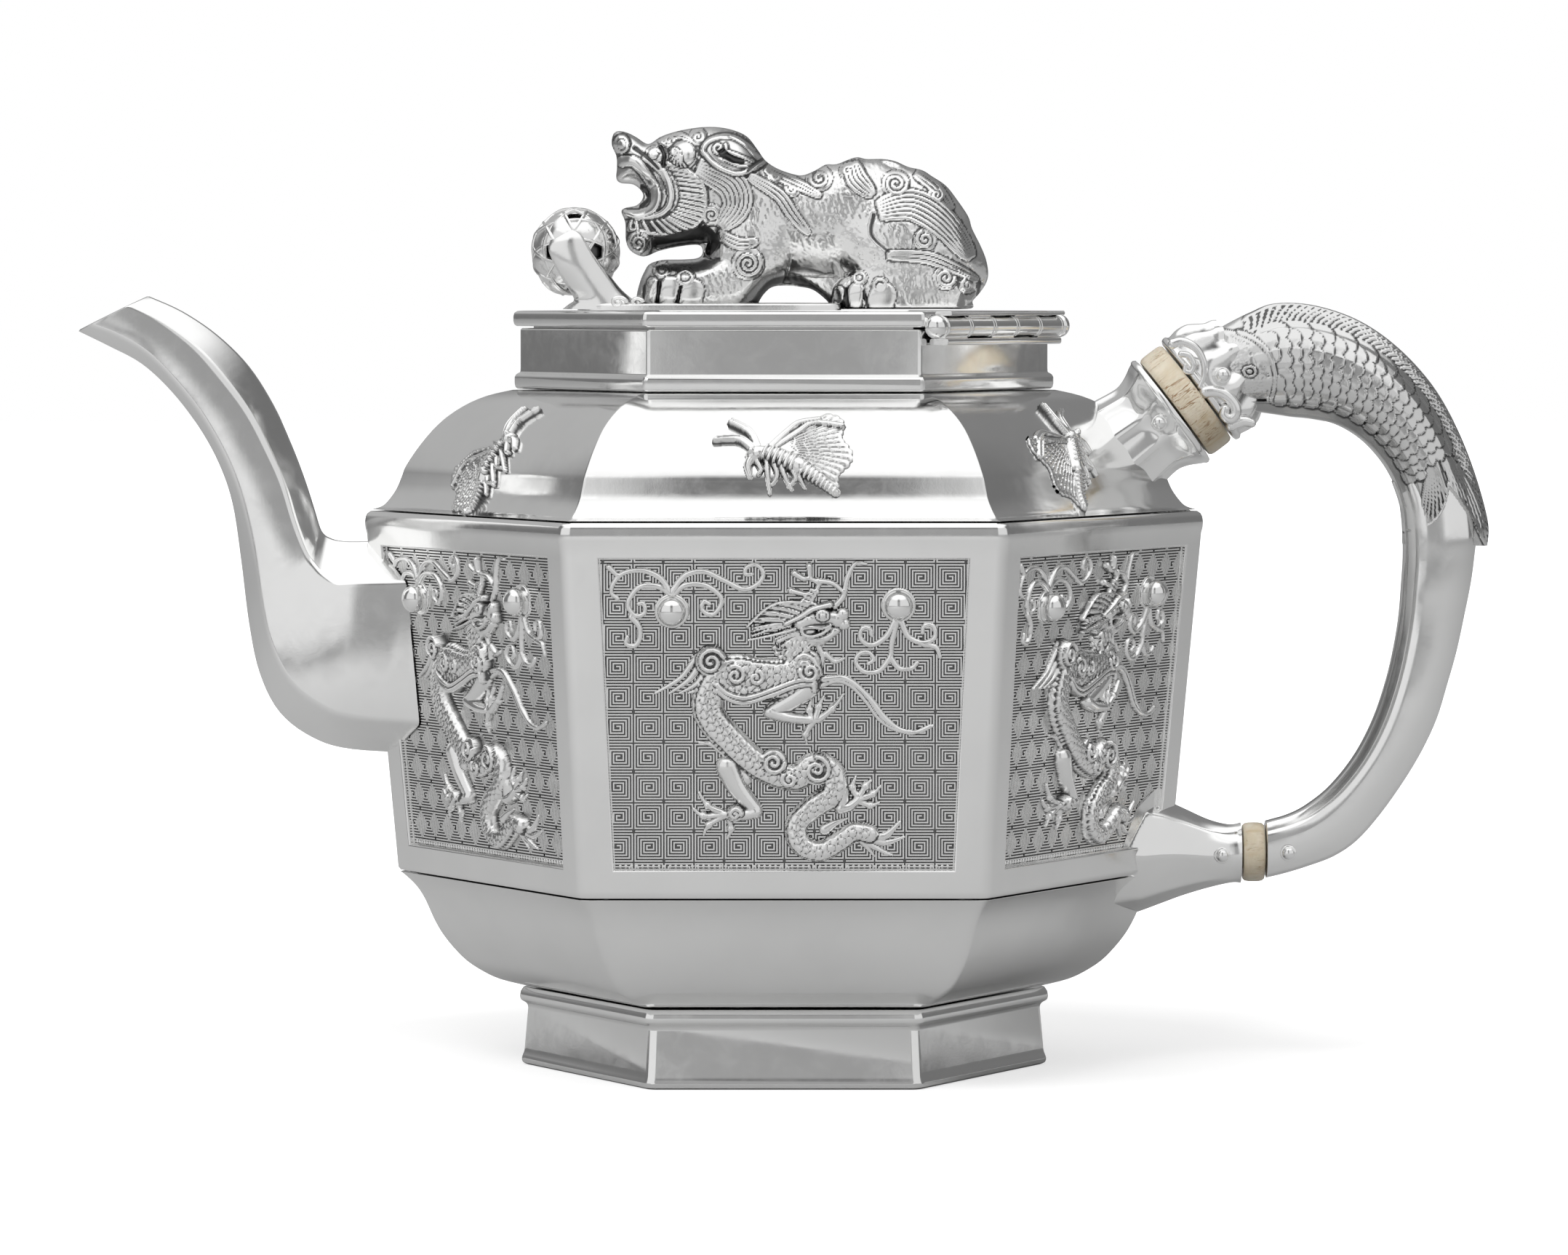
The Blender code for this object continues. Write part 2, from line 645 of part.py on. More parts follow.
def build_arm():
    arm = rings_object("handle_arm", handle_rings(ARM_STATIONS, ARM_SECTION, 2))
    bore_for_tenon(arm, "handle_arm_bore", lower_frame(), LOWER_TENON, LOWER_RING_THICK, 1)
    return arm


# The lower socket's sections: x, the lowest and highest z, and half the width.
LOWER_SOCKET_STATIONS = [
    (60.0, 26.8, 51.0, 15.0),
    (64.0, 27.4, 49.6, 12.6),
    (68.0, 28.7, 48.4, 10.2),
    (72.0, 30.2, 46.6, 7.8),
    (76.5, 31.5, 44.4, 6.0),
    (82.35, 32.9, 43.6, 5.2),
]


def build_lower_socket():
    rings = []
    for x, low, high, half in smooth_stations(LOWER_SOCKET_STATIONS, 2):
        middle, reach = (low + high) / 2, (high - low) / 2
        ring = []
        for index in range(12):
            angle = math.tau * (index + 0.5) / 12
            ring.append(Vector((x, half * math.cos(angle), middle + reach * math.sin(angle))))
        rings.append(ring)
    socket = rings_object("lower_socket", rings)
    bore_for_tenon(socket, "lower_socket_bore", lower_frame(), LOWER_TENON, LOWER_RING_THICK, -1)
    combine(socket, pot_clearance("lower_socket_trim", FOOT_TOP, BAND_TOP))
    return socket


def build_handle():
    upper = upper_frame()
    lower = lower_frame()
    upper_ring = build_insulator("upper_insulator", upper, UPPER_RING_RADIUS, UPPER_RING_THICK, UPPER_TENON)
    lower_ring = build_insulator("lower_insulator", lower, LOWER_RING_RADIUS, LOWER_RING_THICK, LOWER_TENON)
    socket = build_upper_socket(upper)
    collar = build_handle_collar(upper)
    build_grip(upper)
    arm = build_arm()
    foot = build_lower_socket()
    build_rivet("upper_socket_rivet", (67.0, 115.9), 9.4, socket, upper_ring)
    build_rivet("collar_rivet", (78.3, 124.4), 9.9, collar, upper_ring)
    build_rivet("lower_socket_rivet", (78.7, 38.2), 6.0, foot, lower_ring)
    build_rivet("arm_rivet", (90.6, 38.6), 5.8, arm, lower_ring)


# ---- hinge ----


def hinge_frame():
    """Z along the hinge line; X points out of the pot."""
    origin = HINGE_NORMAL * HINGE_REACH + Vector((0, 0, HINGE_Z))
    turned = Matrix((HINGE_NORMAL, Vector((0, 0, -1)), HINGE_ALONG)).transposed().to_4x4()
    return Matrix.Translation(origin) @ turned


def knuckle_span(index):
    pitch = HINGE_LENGTH / KNUCKLES
    start = -HINGE_LENGTH / 2 + pitch * index
    return start + GAP / 2, start + pitch - GAP / 2


def build_leaf(name, knuckles, plate_low, plate_high, web_low, web_high):
    """A strip along the hinge with its knuckles; plates and webs are boxes in the hinge's frame."""
    frame = hinge_frame()
    half = HINGE_LENGTH / 2 - GAP
    leaf = box_object(name, frame, (*plate_low, -half), (*plate_high, half))
    for index in knuckles:
        start, end = knuckle_span(index)
        barrel = rod_cutter(f"{name}_barrel_{index}", frame, KNUCKLE_RADIUS, start, end, 20)
        web = box_object(f"{name}_web_{index}", frame, (*web_low, start + WEB_INSET), (*web_high, end - WEB_INSET))
        combine(leaf, barrel, "UNION")
        combine(leaf, web, "UNION")
    combine(leaf, rod_cutter(f"{name}_bore", frame, HINGE_BORE, -HINGE_LENGTH, HINGE_LENGTH, 20))
    return leaf


def build_hinge_pin():
    half = HINGE_LENGTH / 2
    ball = [(0.5, 2.5), (1.25, 2.1), (1.6, 1.2), (1.3, 0.4)]
    profile = [(radius, -half - along) for radius, along in ball]
    profile += [(HINGE_PIN, -half - 0.2), (HINGE_PIN, half + 0.2)]
    profile += [(radius, half + along) for radius, along in reversed(ball)]
    turned_object("hinge_pin", hinge_frame(), profile, 20)


def build_neck_leaf():
    """Out of the neck's side and under the barrel; the hinge frame's Y points down."""
    build_leaf("neck_hinge_leaf", (0, 2, 4), (-2.2, 2.0), (1.5, 3.2), (-1.0, 1.0), (1.0, 2.4))


def build_lid_leaf():
    """Out of the lid's edge and over the barrel."""
    return build_leaf("lid_hinge_leaf", (1, 3), (-1.1, -2.7), (2.2, -1.95), (-1.0, -2.3), (1.0, -1.0))


# ---- lid ----

LID_HINGE_ROOM = 0.35
SKIRT_BOTTOM = 127.6
SKIRT_OUTSIDE = 45.0
SKIRT_INSIDE = 43.8


def build_lid_plate():
    outside = [
        (46.2, LID_TOP - LID_SHEET), (46.2, LID_BOTTOM), (48.4, LID_BOTTOM), (48.8, LID_BOTTOM + 0.4),
        (48.8, LID_TOP - 0.5), (48.3, LID_TOP),
    ]
    plate = hex_object("lid_plate", outside)
    combine(plate, rod_cutter("lid_hinge_relief", hinge_frame(), KNUCKLE_RADIUS + LID_HINGE_ROOM, -30, 30, 20))
    return plate


def build_lid_skirt():
    top = LID_TOP - LID_SHEET - GAP
    profile = [(SKIRT_OUTSIDE, SKIRT_BOTTOM), (SKIRT_OUTSIDE, top), (SKIRT_INSIDE, top), (SKIRT_INSIDE, SKIRT_BOTTOM)]
    return hex_object("lid_skirt", profile, closed=True)


def sculpted_object(name, blobs, voxel, keep, finish, floor):
    """Rounded masses fused into one skin, then cut flat at the floor.

    A blob is its centre, its three radii and its lean in degrees about Y; one off the middle is mirrored.
    """
    bm = bmesh.new()
    for x, y, z, rx, ry, rz, lean in blobs:
        for side in ((1, -1) if y else (1,)):
            turned = Matrix.Rotation(math.radians(lean), 4, "Y")
            shape = Matrix.Translation((x, y * side, z)) @ turned @ Matrix.Diagonal((rx, ry, rz, 1))
            bmesh.ops.create_icosphere(bm, subdivisions=3, radius=1, matrix=shape)
    made = add_object(name, bm, finish, smooth=60)
    remesh = made.modifiers.new("one_skin", "REMESH")
    remesh.mode = "VOXEL"
    remesh.voxel_size = voxel * MM
    thin = made.modifiers.new("fewer_faces", "DECIMATE")
    thin.ratio = keep
    combine(made, box_object(f"{name}_floor_cutter", Matrix(), (-80, -40, floor - 20), (80, 40, floor)))
    return made


LION_VOXEL = 1.4
LION_KEPT_SHARE = 0.28
LION_MASSES = [
    (8, 0, 152.0, 19, 9.5, 9.6, 0),          # trunk
    (13, 0, 155.0, 9, 8.5, 8.2, 0),          # back
    (24, 0, 150.5, 11, 9.5, 11.2, 25),       # rump
    (28.5, 0, 146.0, 8.0, 8.5, 9.0, 10),     # tail end
    (21, 7.0, 146.5, 12, 5.5, 9.5, 20),      # haunch
    (22.5, 7.5, 139.5, 11.6, 4.6, 5.4, 0),   # hind foot
    (-4.5, 0, 152.5, 9.5, 9.6, 9.0, 0),      # chest
    (-6.0, 6.5, 147.0, 7.0, 5.4, 9.0, 0),    # shoulder
    (-15.5, 7.0, 140.8, 10.6, 4.8, 4.4, 0),  # front paw
    (-9.0, 0, 158.5, 9.5, 9.4, 8.0, 0),      # mane
    (-14.2, 0, 161.2, 9.2, 8.6, 7.9, 0),     # skull
    (-24.5, 0, 163.3, 6.0, 5.6, 4.2, 0),     # muzzle
    (-28.0, 0, 165.2, 2.6, 3.6, 2.9, 0),     # nose
    (-16.5, 0, 154.5, 7.6, 7.8, 7.5, 0),     # cheek
    (-22.5, 0, 151.2, 6.6, 5.6, 3.9, 0),     # lower jaw
    (-25.9, 0, 148.7, 2.7, 5.0, 2.9, 0),     # chin
    (-9.3, 8.2, 163.4, 6.6, 1.8, 3.6, 30),   # ear
]


def build_lion():
    return sculpted_object("lion", LION_MASSES, LION_VOXEL, LION_KEPT_SHARE, "satin_silver", LID_TOP + GAP)


RIBBON_TOP = 137.3
RIBBON_PLATE = [
    (-37.6, -7.4), (-34.0, -12.0), (-26.0, -13.0), (-6.0, -13.6), (4.0, -13.0), (10.4, -11.4),
    (10.4, 11.4), (4.0, 13.0), (-6.0, 13.6), (-26.0, 13.0), (-32.0, 9.0), (-34.6, 0.0),
]
# The strut's sections: x, y, z, and its half widths along and across the pot.
STRUT_STATIONS = [
    (-32.5, -8.4, 136.7, 5.2, 3.4),
    (-33.2, -8.6, 138.6, 3.9, 2.9),
    (-35.2, -9.4, 141.6, 3.0, 2.3),
    (-37.4, -10.4, 144.9, 2.8, 1.9),
    (-39.0, -10.3, 148.0, 2.7, 1.3),
]
BALL_CENTRE = Vector((-37.5, 0, 146.4))
BALL_RADIUS = 8.0


def build_ribbon_strut():
    rings = []
    for x, y, z, along, across in smooth_stations(STRUT_STATIONS, 3):
        rings.append([
            Vector((x + along * math.cos(math.tau * i / 12), y + across * math.sin(math.tau * i / 12), z))
            for i in range(12)
        ])
    strut = rings_object("ribbon_strut", rings, "satin_silver")
    levels = (LID_TOP + GAP, RIBBON_TOP)
    plate = rings_object("ribbon_plate", [[Vector((x, y, z)) for x, y in RIBBON_PLATE] for z in levels])
    combine(strut, plate, "UNION")
    combine(strut, sphere_object("ball_room_cutter", BALL_CENTRE, BALL_RADIUS + GAP, 16, 24))
    return strut


def sphere_object(name, centre, radius, rows, sides, finish="silver"):
    bm = bmesh.new()
    place = Matrix.Translation(centre)
    bmesh.ops.create_uvsphere(bm, u_segments=sides, v_segments=rows, radius=radius, matrix=place)
    return add_object(name, bm, finish)


def build_lid():
    """The lid's pieces hang from an empty on the hinge line."""
    axis = bpy.data.objects.new("lid_hinge_axis", None)
    axis.matrix_world = hinge_frame_in_metres()
    bpy.context.scene.collection.objects.link(axis)
    lion = build_lion()
    strut = build_ribbon_strut()
    hollow = lion_hollow_for_plate()
    combine(lion, hollow)
    ball = sphere_object("brocade_ball", BALL_CENTRE, BALL_RADIUS, 12, 20, "satin_silver")
    for piece in (build_lid_plate(), build_lid_skirt(), build_lid_leaf(), lion, strut, ball):
        piece.parent = axis
        piece.matrix_parent_inverse = axis.matrix_world.inverted()


def lion_hollow_for_plate():
    """Room under the lion's front half for the ribbon's plate."""
    levels = (LID_TOP - 1, RIBBON_TOP + GAP)
    grown = [(x * 1.02 + (GAP if x > 0 else -GAP), y * 1.03) for x, y in RIBBON_PLATE]
    return rings_object("plate_room_cutter", [[Vector((x, y, z)) for x, y in grown] for z in levels])


def hinge_frame_in_metres():
    frame = hinge_frame()
    frame.translation = frame.translation * MM
    return frame


def build_pot():
    build_foot_ring()
    build_bowl()
    build_panel_band()
    build_panels()
    build_shoulder()
    skin = moth_skin()
    for face in range(SIDES):
        build_moth(face, skin)
    build_neck_collar()
    build_neck_leaf()
    build_hinge_pin()
    build_spout()
    build_strainer()
    build_handle()


clear_scene()
build_pot()
build_lid()
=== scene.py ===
"""The finished look of the silver teapot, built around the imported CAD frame.

Shapes are written in millimetres and turned into metres when a mesh is made. The frame is the CAD's: +X to the
handle, -X to the spout, +Z up, and the pot's hexagon has corners at +X and -X and flat faces at -Y and +Y.
Reliefs are height fields on a fine grid, bent onto the surface that carries them.
"""
import math

import bmesh
import bpy
import numpy as np
from mathutils import Matrix, Vector


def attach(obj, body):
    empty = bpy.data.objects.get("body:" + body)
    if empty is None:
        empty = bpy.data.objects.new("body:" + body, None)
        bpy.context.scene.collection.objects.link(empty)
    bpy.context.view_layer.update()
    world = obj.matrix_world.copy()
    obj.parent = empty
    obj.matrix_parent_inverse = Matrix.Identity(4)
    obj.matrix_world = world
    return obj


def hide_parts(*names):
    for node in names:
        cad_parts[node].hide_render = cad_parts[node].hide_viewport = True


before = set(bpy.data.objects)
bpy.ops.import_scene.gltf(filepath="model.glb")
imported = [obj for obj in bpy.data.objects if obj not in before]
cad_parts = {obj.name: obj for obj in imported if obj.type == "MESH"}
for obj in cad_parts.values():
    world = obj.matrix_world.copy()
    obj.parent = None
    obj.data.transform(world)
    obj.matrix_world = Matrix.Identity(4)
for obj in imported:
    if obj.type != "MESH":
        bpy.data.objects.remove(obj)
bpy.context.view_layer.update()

MM = 0.001
SIDES = 6
FLAT = math.cos(math.pi / SIDES)
UP = Vector((0, 0, 1))


# ---- shader helpers ----


# Where a Mix node keeps its factor, its two colours and its colour result.
MIX_COLOUR_INPUTS = (0, 6, 7)
MIX_COLOUR_OUTPUT = 2


def plug(links, socket, value):
    """Link a node's input to another node's output, or set it to a constant."""
    if isinstance(value, bpy.types.NodeSocket):
        links.new(value, socket)
    else:
        socket.default_value = value


def math_node(tree, operation, *values):
    """The output of a new math node whose inputs are outputs or constants."""
    node = tree.nodes.new("ShaderNodeMath")
    node.operation = operation
    for socket, value in zip(node.inputs, values):
        plug(tree.links, socket, value)
    return node.outputs[0]


class Shader:
    """A Principled material and short calls for adding nodes to it."""

    def __init__(self, name):
        self.material = bpy.data.materials.new(name)
        self.material.use_nodes = True
        self.tree = self.material.node_tree
        self.nodes = self.tree.nodes
        self.links = self.tree.links
        self.surface = self.nodes["Principled BSDF"]
        self.place = self.add("ShaderNodeTexCoord").outputs["Object"]

    def add(self, kind, **settings):
        node = self.nodes.new(kind)
        for key, value in settings.items():
            setattr(node, key, value)
        return node

    def feed(self, node, **inputs):
        """Set or link a node's inputs; an underscore in a name stands for a space."""
        for key, value in inputs.items():
            plug(self.links, node.inputs[key.replace("_", " ")], value)
        return node

    def noise(self, scale, detail=3, roughness=0.55, distortion=0.0, vector=None):
        node = self.add("ShaderNodeTexNoise")
        self.feed(node, Vector=vector or self.place, Scale=scale, Detail=detail, Roughness=roughness,
                  Distortion=distortion)
        return node.outputs["Fac"]

    def stretched(self, scale):
        node = self.add("ShaderNodeMapping")
        self.feed(node, Vector=self.place, Scale=scale)
        return node.outputs["Vector"]

    def span(self, value, low, high, start=0.0, end=1.0):
        """Map value from low..high onto start..end, smoothly."""
        node = self.add("ShaderNodeMapRange", interpolation_type="SMOOTHSTEP")
        self.feed(node, Value=value, From_Min=low, From_Max=high, To_Min=start, To_Max=end)
        return node.outputs["Result"]

    def math(self, operation, *values):
        return math_node(self.tree, operation, *values)

    def mix(self, factor, first, second):
        """Mix two colours; a tuple is an RGB colour."""
        node = self.add("ShaderNodeMix", data_type="RGBA")
        for index, value in zip(MIX_COLOUR_INPUTS, (factor, first, second)):
            plug(self.links, node.inputs[index], (*value, 1) if isinstance(value, tuple) else value)
        return node.outputs[MIX_COLOUR_OUTPUT]

    def bumps(self, *layers):
        """Stack bumps, each a height, its strength and its distance in millimetres."""
        normal = None
        for height, strength, distance in layers:
            node = self.add("ShaderNodeBump")
            self.feed(node, Height=height, Strength=strength, Distance=distance * MM)
            if normal:
                self.links.new(normal, node.inputs["Normal"])
            normal = node.outputs["Normal"]
        self.links.new(normal, self.surface.inputs["Normal"])

    def attribute(self, name):
        return self.add("ShaderNodeAttribute", attribute_name=name).outputs["Fac"]


SILVER_TONE = (0.93, 0.93, 0.925)
# The dark of sulphide in hollows, also used as painted shade in hollows, cuts and under overhangs.
TARNISH_AND_SHADE_TONE = (0.13, 0.13, 0.13)
CREAM_DEEP = (0.50, 0.43, 0.31)
CREAM_PALE = (0.60, 0.55, 0.45)
IVORY_STAIN = (0.42, 0.31, 0.17)
IVORY_CRACK = (0.26, 0.16, 0.08)


def silver_material(name, rough_low, rough_high, grain, tarnish_and_shade=TARNISH_AND_SHADE_TONE, wave=0.012, shine=1.0):
    """Old polished silver: soft waves from planishing, hairline scratches, and dark sulphide left in hollows; the
    cavity attribute lays the same dark colour as painted shade in hollows, cuts and at the foot of reliefs.
    """
    shader = Shader(name)
    clouds = shader.noise(60, 4)
    smudge = shader.noise(260, 5, 0.65, 0.6)
    scratches = shader.noise(900, 2, 0.5, 0.0, shader.stretched((1.0, 1.0, 0.06)))
    pits = shader.noise(2600, 2, 0.6)
    cavity = shader.attribute("cavity")
    # Painted shade and sulphide: the cavity attribute, broken up a little by the smudge noise, pulls the colour
    # towards the dark tone.
    tarnish_and_shade_mask = shader.math("MULTIPLY", cavity, shader.span(smudge, 0.25, 0.6, 0.8, 1.15))
    dark = shader.span(tarnish_and_shade_mask, 0.10, 0.85)
    bright, dull = (tuple(shine * share * part for part in SILVER_TONE) for share in (1.0, 0.8))
    tone = shader.mix(shader.span(clouds, 0.35, 0.7, 0.0, 0.16), bright, dull)
    shader.links.new(shader.mix(dark, tone, tarnish_and_shade), shader.surface.inputs["Base Color"])
    polish = shader.span(smudge, 0.3, 0.75, rough_low, rough_high)
    rough = shader.math("ADD", polish, shader.math("MULTIPLY", dark, 0.22))
    shader.links.new(rough, shader.surface.inputs["Roughness"])
    shader.feed(shader.surface, Metallic=1.0)
    waves = (shader.noise(38, 2), 0.35, wave * 40)
    shader.bumps(waves, (scratches, 0.05, 0.05), (pits, grain, 0.10), (smudge, 0.04, 0.12))
    return shader.material


def ivory_material():
    """Old ivory: cream with cloudy depth, and brown age streaks that run across the ring's rim.

    The vertex attribute "lengthwise" holds each point in the ring's own frame, squeezed along its axis.
    """
    shader = Shader("ivory_streaked")
    own = shader.add("ShaderNodeAttribute", attribute_name="lengthwise").outputs["Vector"]
    clouds = shader.noise(140, 5, 0.6, 0.8)
    strands = shader.noise(0.62, 4, 0.62, 0.5, own)
    threads = shader.noise(2.4, 3, 0.6, 0.3, own)
    broken = shader.span(shader.noise(150, 3), 0.40, 0.60)
    coarse = shader.math("ABSOLUTE", shader.math("SUBTRACT", strands, 0.5))
    fine = shader.math("ABSOLUTE", shader.math("SUBTRACT", threads, 0.5))
    line = shader.math("MULTIPLY", shader.span(coarse, 0.004, 0.02, 1.0, 0.0), broken)
    hair = shader.math("MULTIPLY", shader.span(fine, 0.0, 0.03, 0.4, 0.0), broken)
    crack = shader.math("MAXIMUM", line, hair)
    cream = shader.mix(shader.span(clouds, 0.3, 0.7), CREAM_DEEP, CREAM_PALE)
    stained = shader.mix(shader.span(strands, 0.5, 0.75, 0.0, 0.5), cream, IVORY_STAIN)
    shader.links.new(shader.mix(crack, stained, IVORY_CRACK), shader.surface.inputs["Base Color"])
    shader.links.new(shader.span(clouds, 0.3, 0.7, 0.28, 0.42), shader.surface.inputs["Roughness"])
    shader.feed(shader.surface, Subsurface_Weight=0.12, Subsurface_Scale=0.002, Coat_Weight=0.15)
    shader.bumps((crack, 0.35, -0.12), (clouds, 0.06, 0.2))
    return shader.material


# ---- mesh helpers ----

BEVEL_ANGLE = 28
CAVITY_GAIN = 9


def finish_mesh(name, vertices, faces, material, body, replaces, smooth=32, bevel=0.0):
    """A piece from points in millimetres: shaded, given its material, and tied to its body and CAD nodes."""
    mesh = bpy.data.meshes.new(name)
    mesh.from_pydata([tuple(MM * value for value in point) for point in vertices], [], faces)
    bm = bmesh.new()
    bm.from_mesh(mesh)
    bmesh.ops.recalc_face_normals(bm, faces=bm.faces)
    bm.to_mesh(mesh)
    bm.free()
    return finish_piece(name, mesh, material, body, replaces, smooth, bevel)


def tie_piece(name, mesh, body, replaces):
    """An object for a mesh, tied to its body and the CAD nodes that it stands for."""
    piece = bpy.data.objects.new(name, mesh)
    bpy.context.scene.collection.objects.link(piece)
    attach(piece, body)
    if replaces:
        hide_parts(*replaces)
    return piece


def finish_piece(name, mesh, material, body, replaces, smooth=32, bevel=0.0):
    """A piece whose edges sharper than smooth degrees stay crisp; bevel softens them, in millimetres."""
    mesh.materials.append(material)
    mesh.shade_smooth()
    if smooth < 180:
        mesh.set_sharp_from_angle(angle=math.radians(smooth))
    piece = tie_piece(name, mesh, body, replaces)
    if bevel:
        edge = piece.modifiers.new("soft_edges", "BEVEL")
        edge.limit_method = "ANGLE"
        edge.angle_limit = math.radians(BEVEL_ANGLE)
        edge.width = bevel * MM
        edge.segments = 2
        edge.harden_normals = True
        edge.use_clamp_overlap = True
    return piece


def skin_rings(rings, closed=False, capped=True):
    """Vertices and quads through rings of equally many points."""
    count = len(rings[0])
    vertices = [tuple(point) for ring in rings for point in ring]
    faces = []
    pairs = list(zip(range(len(rings)), range(1, len(rings))))
    if closed:
        pairs.append((len(rings) - 1, 0))
    for lower, upper in pairs:
        for index in range(count):
            after = (index + 1) % count
            faces.append((lower * count + index, lower * count + after, upper * count + after,
                         upper * count + index))
    if capped and not closed:
        faces.append(tuple(reversed(range(count))))
        faces.append(tuple(range((len(rings) - 1) * count, len(rings) * count)))
    return vertices, faces


def join_parts(*parts):
    """Several (vertices, faces) pairs as one."""
    vertices, faces = [], []
    for part_vertices, part_faces in parts:
        start = len(vertices)
        vertices.extend(part_vertices)
        faces.extend(tuple(start + index for index in face) for face in part_faces)
    return vertices, faces


def curve_stretch(a, b, c, d, steps):
    """Points of a Catmull-Rom curve from b up to c, without c."""
    drawn = []
    for step in range(steps):
        t = step / steps
        drawn.append(0.5 * (2 * b + (c - a) * t + (2 * a - 5 * b + 4 * c - d) * t * t
                            + (3 * b - a - 3 * c + d) * t ** 3))
    return drawn


def smooth_curve(stations, steps):
    """A smooth open curve through stations, each a flat tuple of numbers."""
    points = [np.array(station, float) for station in stations]
    padded = [points[0], *points, points[-1]]
    drawn = []
    for index in range(len(points) - 1):
        drawn += curve_stretch(*padded[index:index + 4], steps)
    return np.array(drawn + [points[-1]])


def closed_curve(points, steps):
    """A smooth closed curve through points."""
    points = [np.array(point, float) for point in points]
    drawn = []
    for index in range(len(points)):
        drawn += curve_stretch(*(points[(index + shift) % len(points)] for shift in (-1, 0, 1, 2)), steps)
    return np.array(drawn)


def ring_points(centre, reach_x, reach_y, turn, count):
    """Points on an ellipse, one every turn radians."""
    return [(centre[0] + reach_x * math.cos(turn * i), centre[1] + reach_y * math.sin(turn * i))
            for i in range(count)]


def dome_profile(radius, height, lifts, base=0.0):
    """The (radius, along) profile of a dome at the given lifts in degrees."""
    return [(radius * math.cos(math.radians(lift)), base + height * math.sin(math.radians(lift)))
            for lift in lifts]


def rounded_polygon(corners, radius, steps=3):
    """A closed outline of 2-D corners with each one rounded by a small arc-like curve."""
    outline = []
    count = len(corners)
    for index in range(count):
        before, here, after = (np.array(corners[(index + shift) % count], float) for shift in (-1, 0, 1))
        back, ahead = before - here, after - here
        reach = min(radius, 0.4 * np.linalg.norm(back), 0.4 * np.linalg.norm(ahead))
        start = here + back / max(np.linalg.norm(back), 1e-9) * reach
        end = here + ahead / max(np.linalg.norm(ahead), 1e-9) * reach
        for step in range(steps + 1):
            t = step / steps
            outline.append((1 - t) ** 2 * start + 2 * t * (1 - t) * here + t * t * end)
    return outline


def axis_frame(origin, direction, side=(0, 1, 0)):
    """A frame whose Z runs along direction and whose Y is side."""
    z_axis = Vector(direction).normalized()
    y_axis = Vector(side).normalized()
    x_axis = y_axis.cross(z_axis)
    axes = Matrix((x_axis, y_axis, z_axis)).transposed().to_4x4()
    return Matrix.Translation(origin) @ axes


def turned(place, profile, sides, closed=False):
    """A profile of (radius, along) turned about the frame's Z axis."""
    rings = []
    for radius, along in profile:
        circle = ring_points((0, 0), radius, radius, math.tau / sides, sides)
        rings.append([place @ Vector((x, y, along)) for x, y in circle])
    return skin_rings(rings, closed)


def mark_cavities(piece, strength=1.0, passes=3):
    """Store how hollow the surface is at each vertex, for the dark sulphide and the painted shade that the
    material lays there.
    """
    mesh = piece.data
    count = len(mesh.vertices)
    points = np.empty(count * 3)
    mesh.vertices.foreach_get("co", points)
    points = points.reshape(-1, 3)
    normals = np.empty(count * 3)
    mesh.vertices.foreach_get("normal", normals)
    normals = normals.reshape(-1, 3)
    edges = np.empty(len(mesh.edges) * 2, int)
    mesh.edges.foreach_get("vertices", edges)
    first, second = edges.reshape(-1, 2).T
    linked = np.maximum(np.bincount(first, minlength=count) + np.bincount(second, minlength=count), 1)

    def average(values):
        total = np.zeros_like(values)
        np.add.at(total, first, values[second])
        np.add.at(total, second, values[first])
        return total / (linked[:, None] if values.ndim > 1 else linked)

    steps = np.linalg.norm(points[first] - points[second], axis=1).mean()
    bend = np.einsum("ij,ij->i", average(points) - points, normals) / steps
    for _ in range(passes):
        bend = 0.5 * bend + 0.5 * average(bend)
    hollow = np.clip(bend * CAVITY_GAIN * strength, 0, 1)
    write_attribute(mesh, "cavity", hollow)


def write_attribute(mesh, name, values):
    layer = mesh.attributes.new(name, "FLOAT", "POINT")
    layer.data.foreach_set("value", np.asarray(values, np.float32))
# ---- the six-sided pot ----

POLISHED = silver_material("polished_silver", 0.09, 0.18, 0.02)
CHASED = silver_material("chased_silver", 0.16, 0.26, 0.12)
# Painted shade: the grip's silver is a copy with its colour a fifth darker than the rest.
FISH_SILVER_SHADED = silver_material("scaled_silver", 0.14, 0.24, 0.10, wave=0.004, shine=0.80)
GROUND = silver_material("fretted_ground", 0.20, 0.32, 0.15, tarnish_and_shade=tuple(1.35 * part
    for part in TARNISH_AND_SHADE_TONE))
IVORY = ivory_material()

PANEL_LOW = 39.8
PANEL_HIGH = 94.1
PANEL_WIDTH_LOW = 59.0
PANEL_WIDTH_HIGH = 63.9
BAND_Z_LOW = 36.0
BAND_Z_HIGH = 96.0
BAND_RADIUS_LOW = 70.0
BAND_RADIUS_HIGH = 75.5
BAND_WALL = 2.8
GROUND_DEPTH = -1.35
LID_TOP = 135.9


def direction(angle):
    return Vector((math.cos(angle), math.sin(angle), 0))


HALF_CORNER = math.pi / SIDES


def face_angle(face):
    """Face 0 looks along -Y; the others follow anticlockwise seen from above."""
    return math.radians(-90) + 2 * HALF_CORNER * face


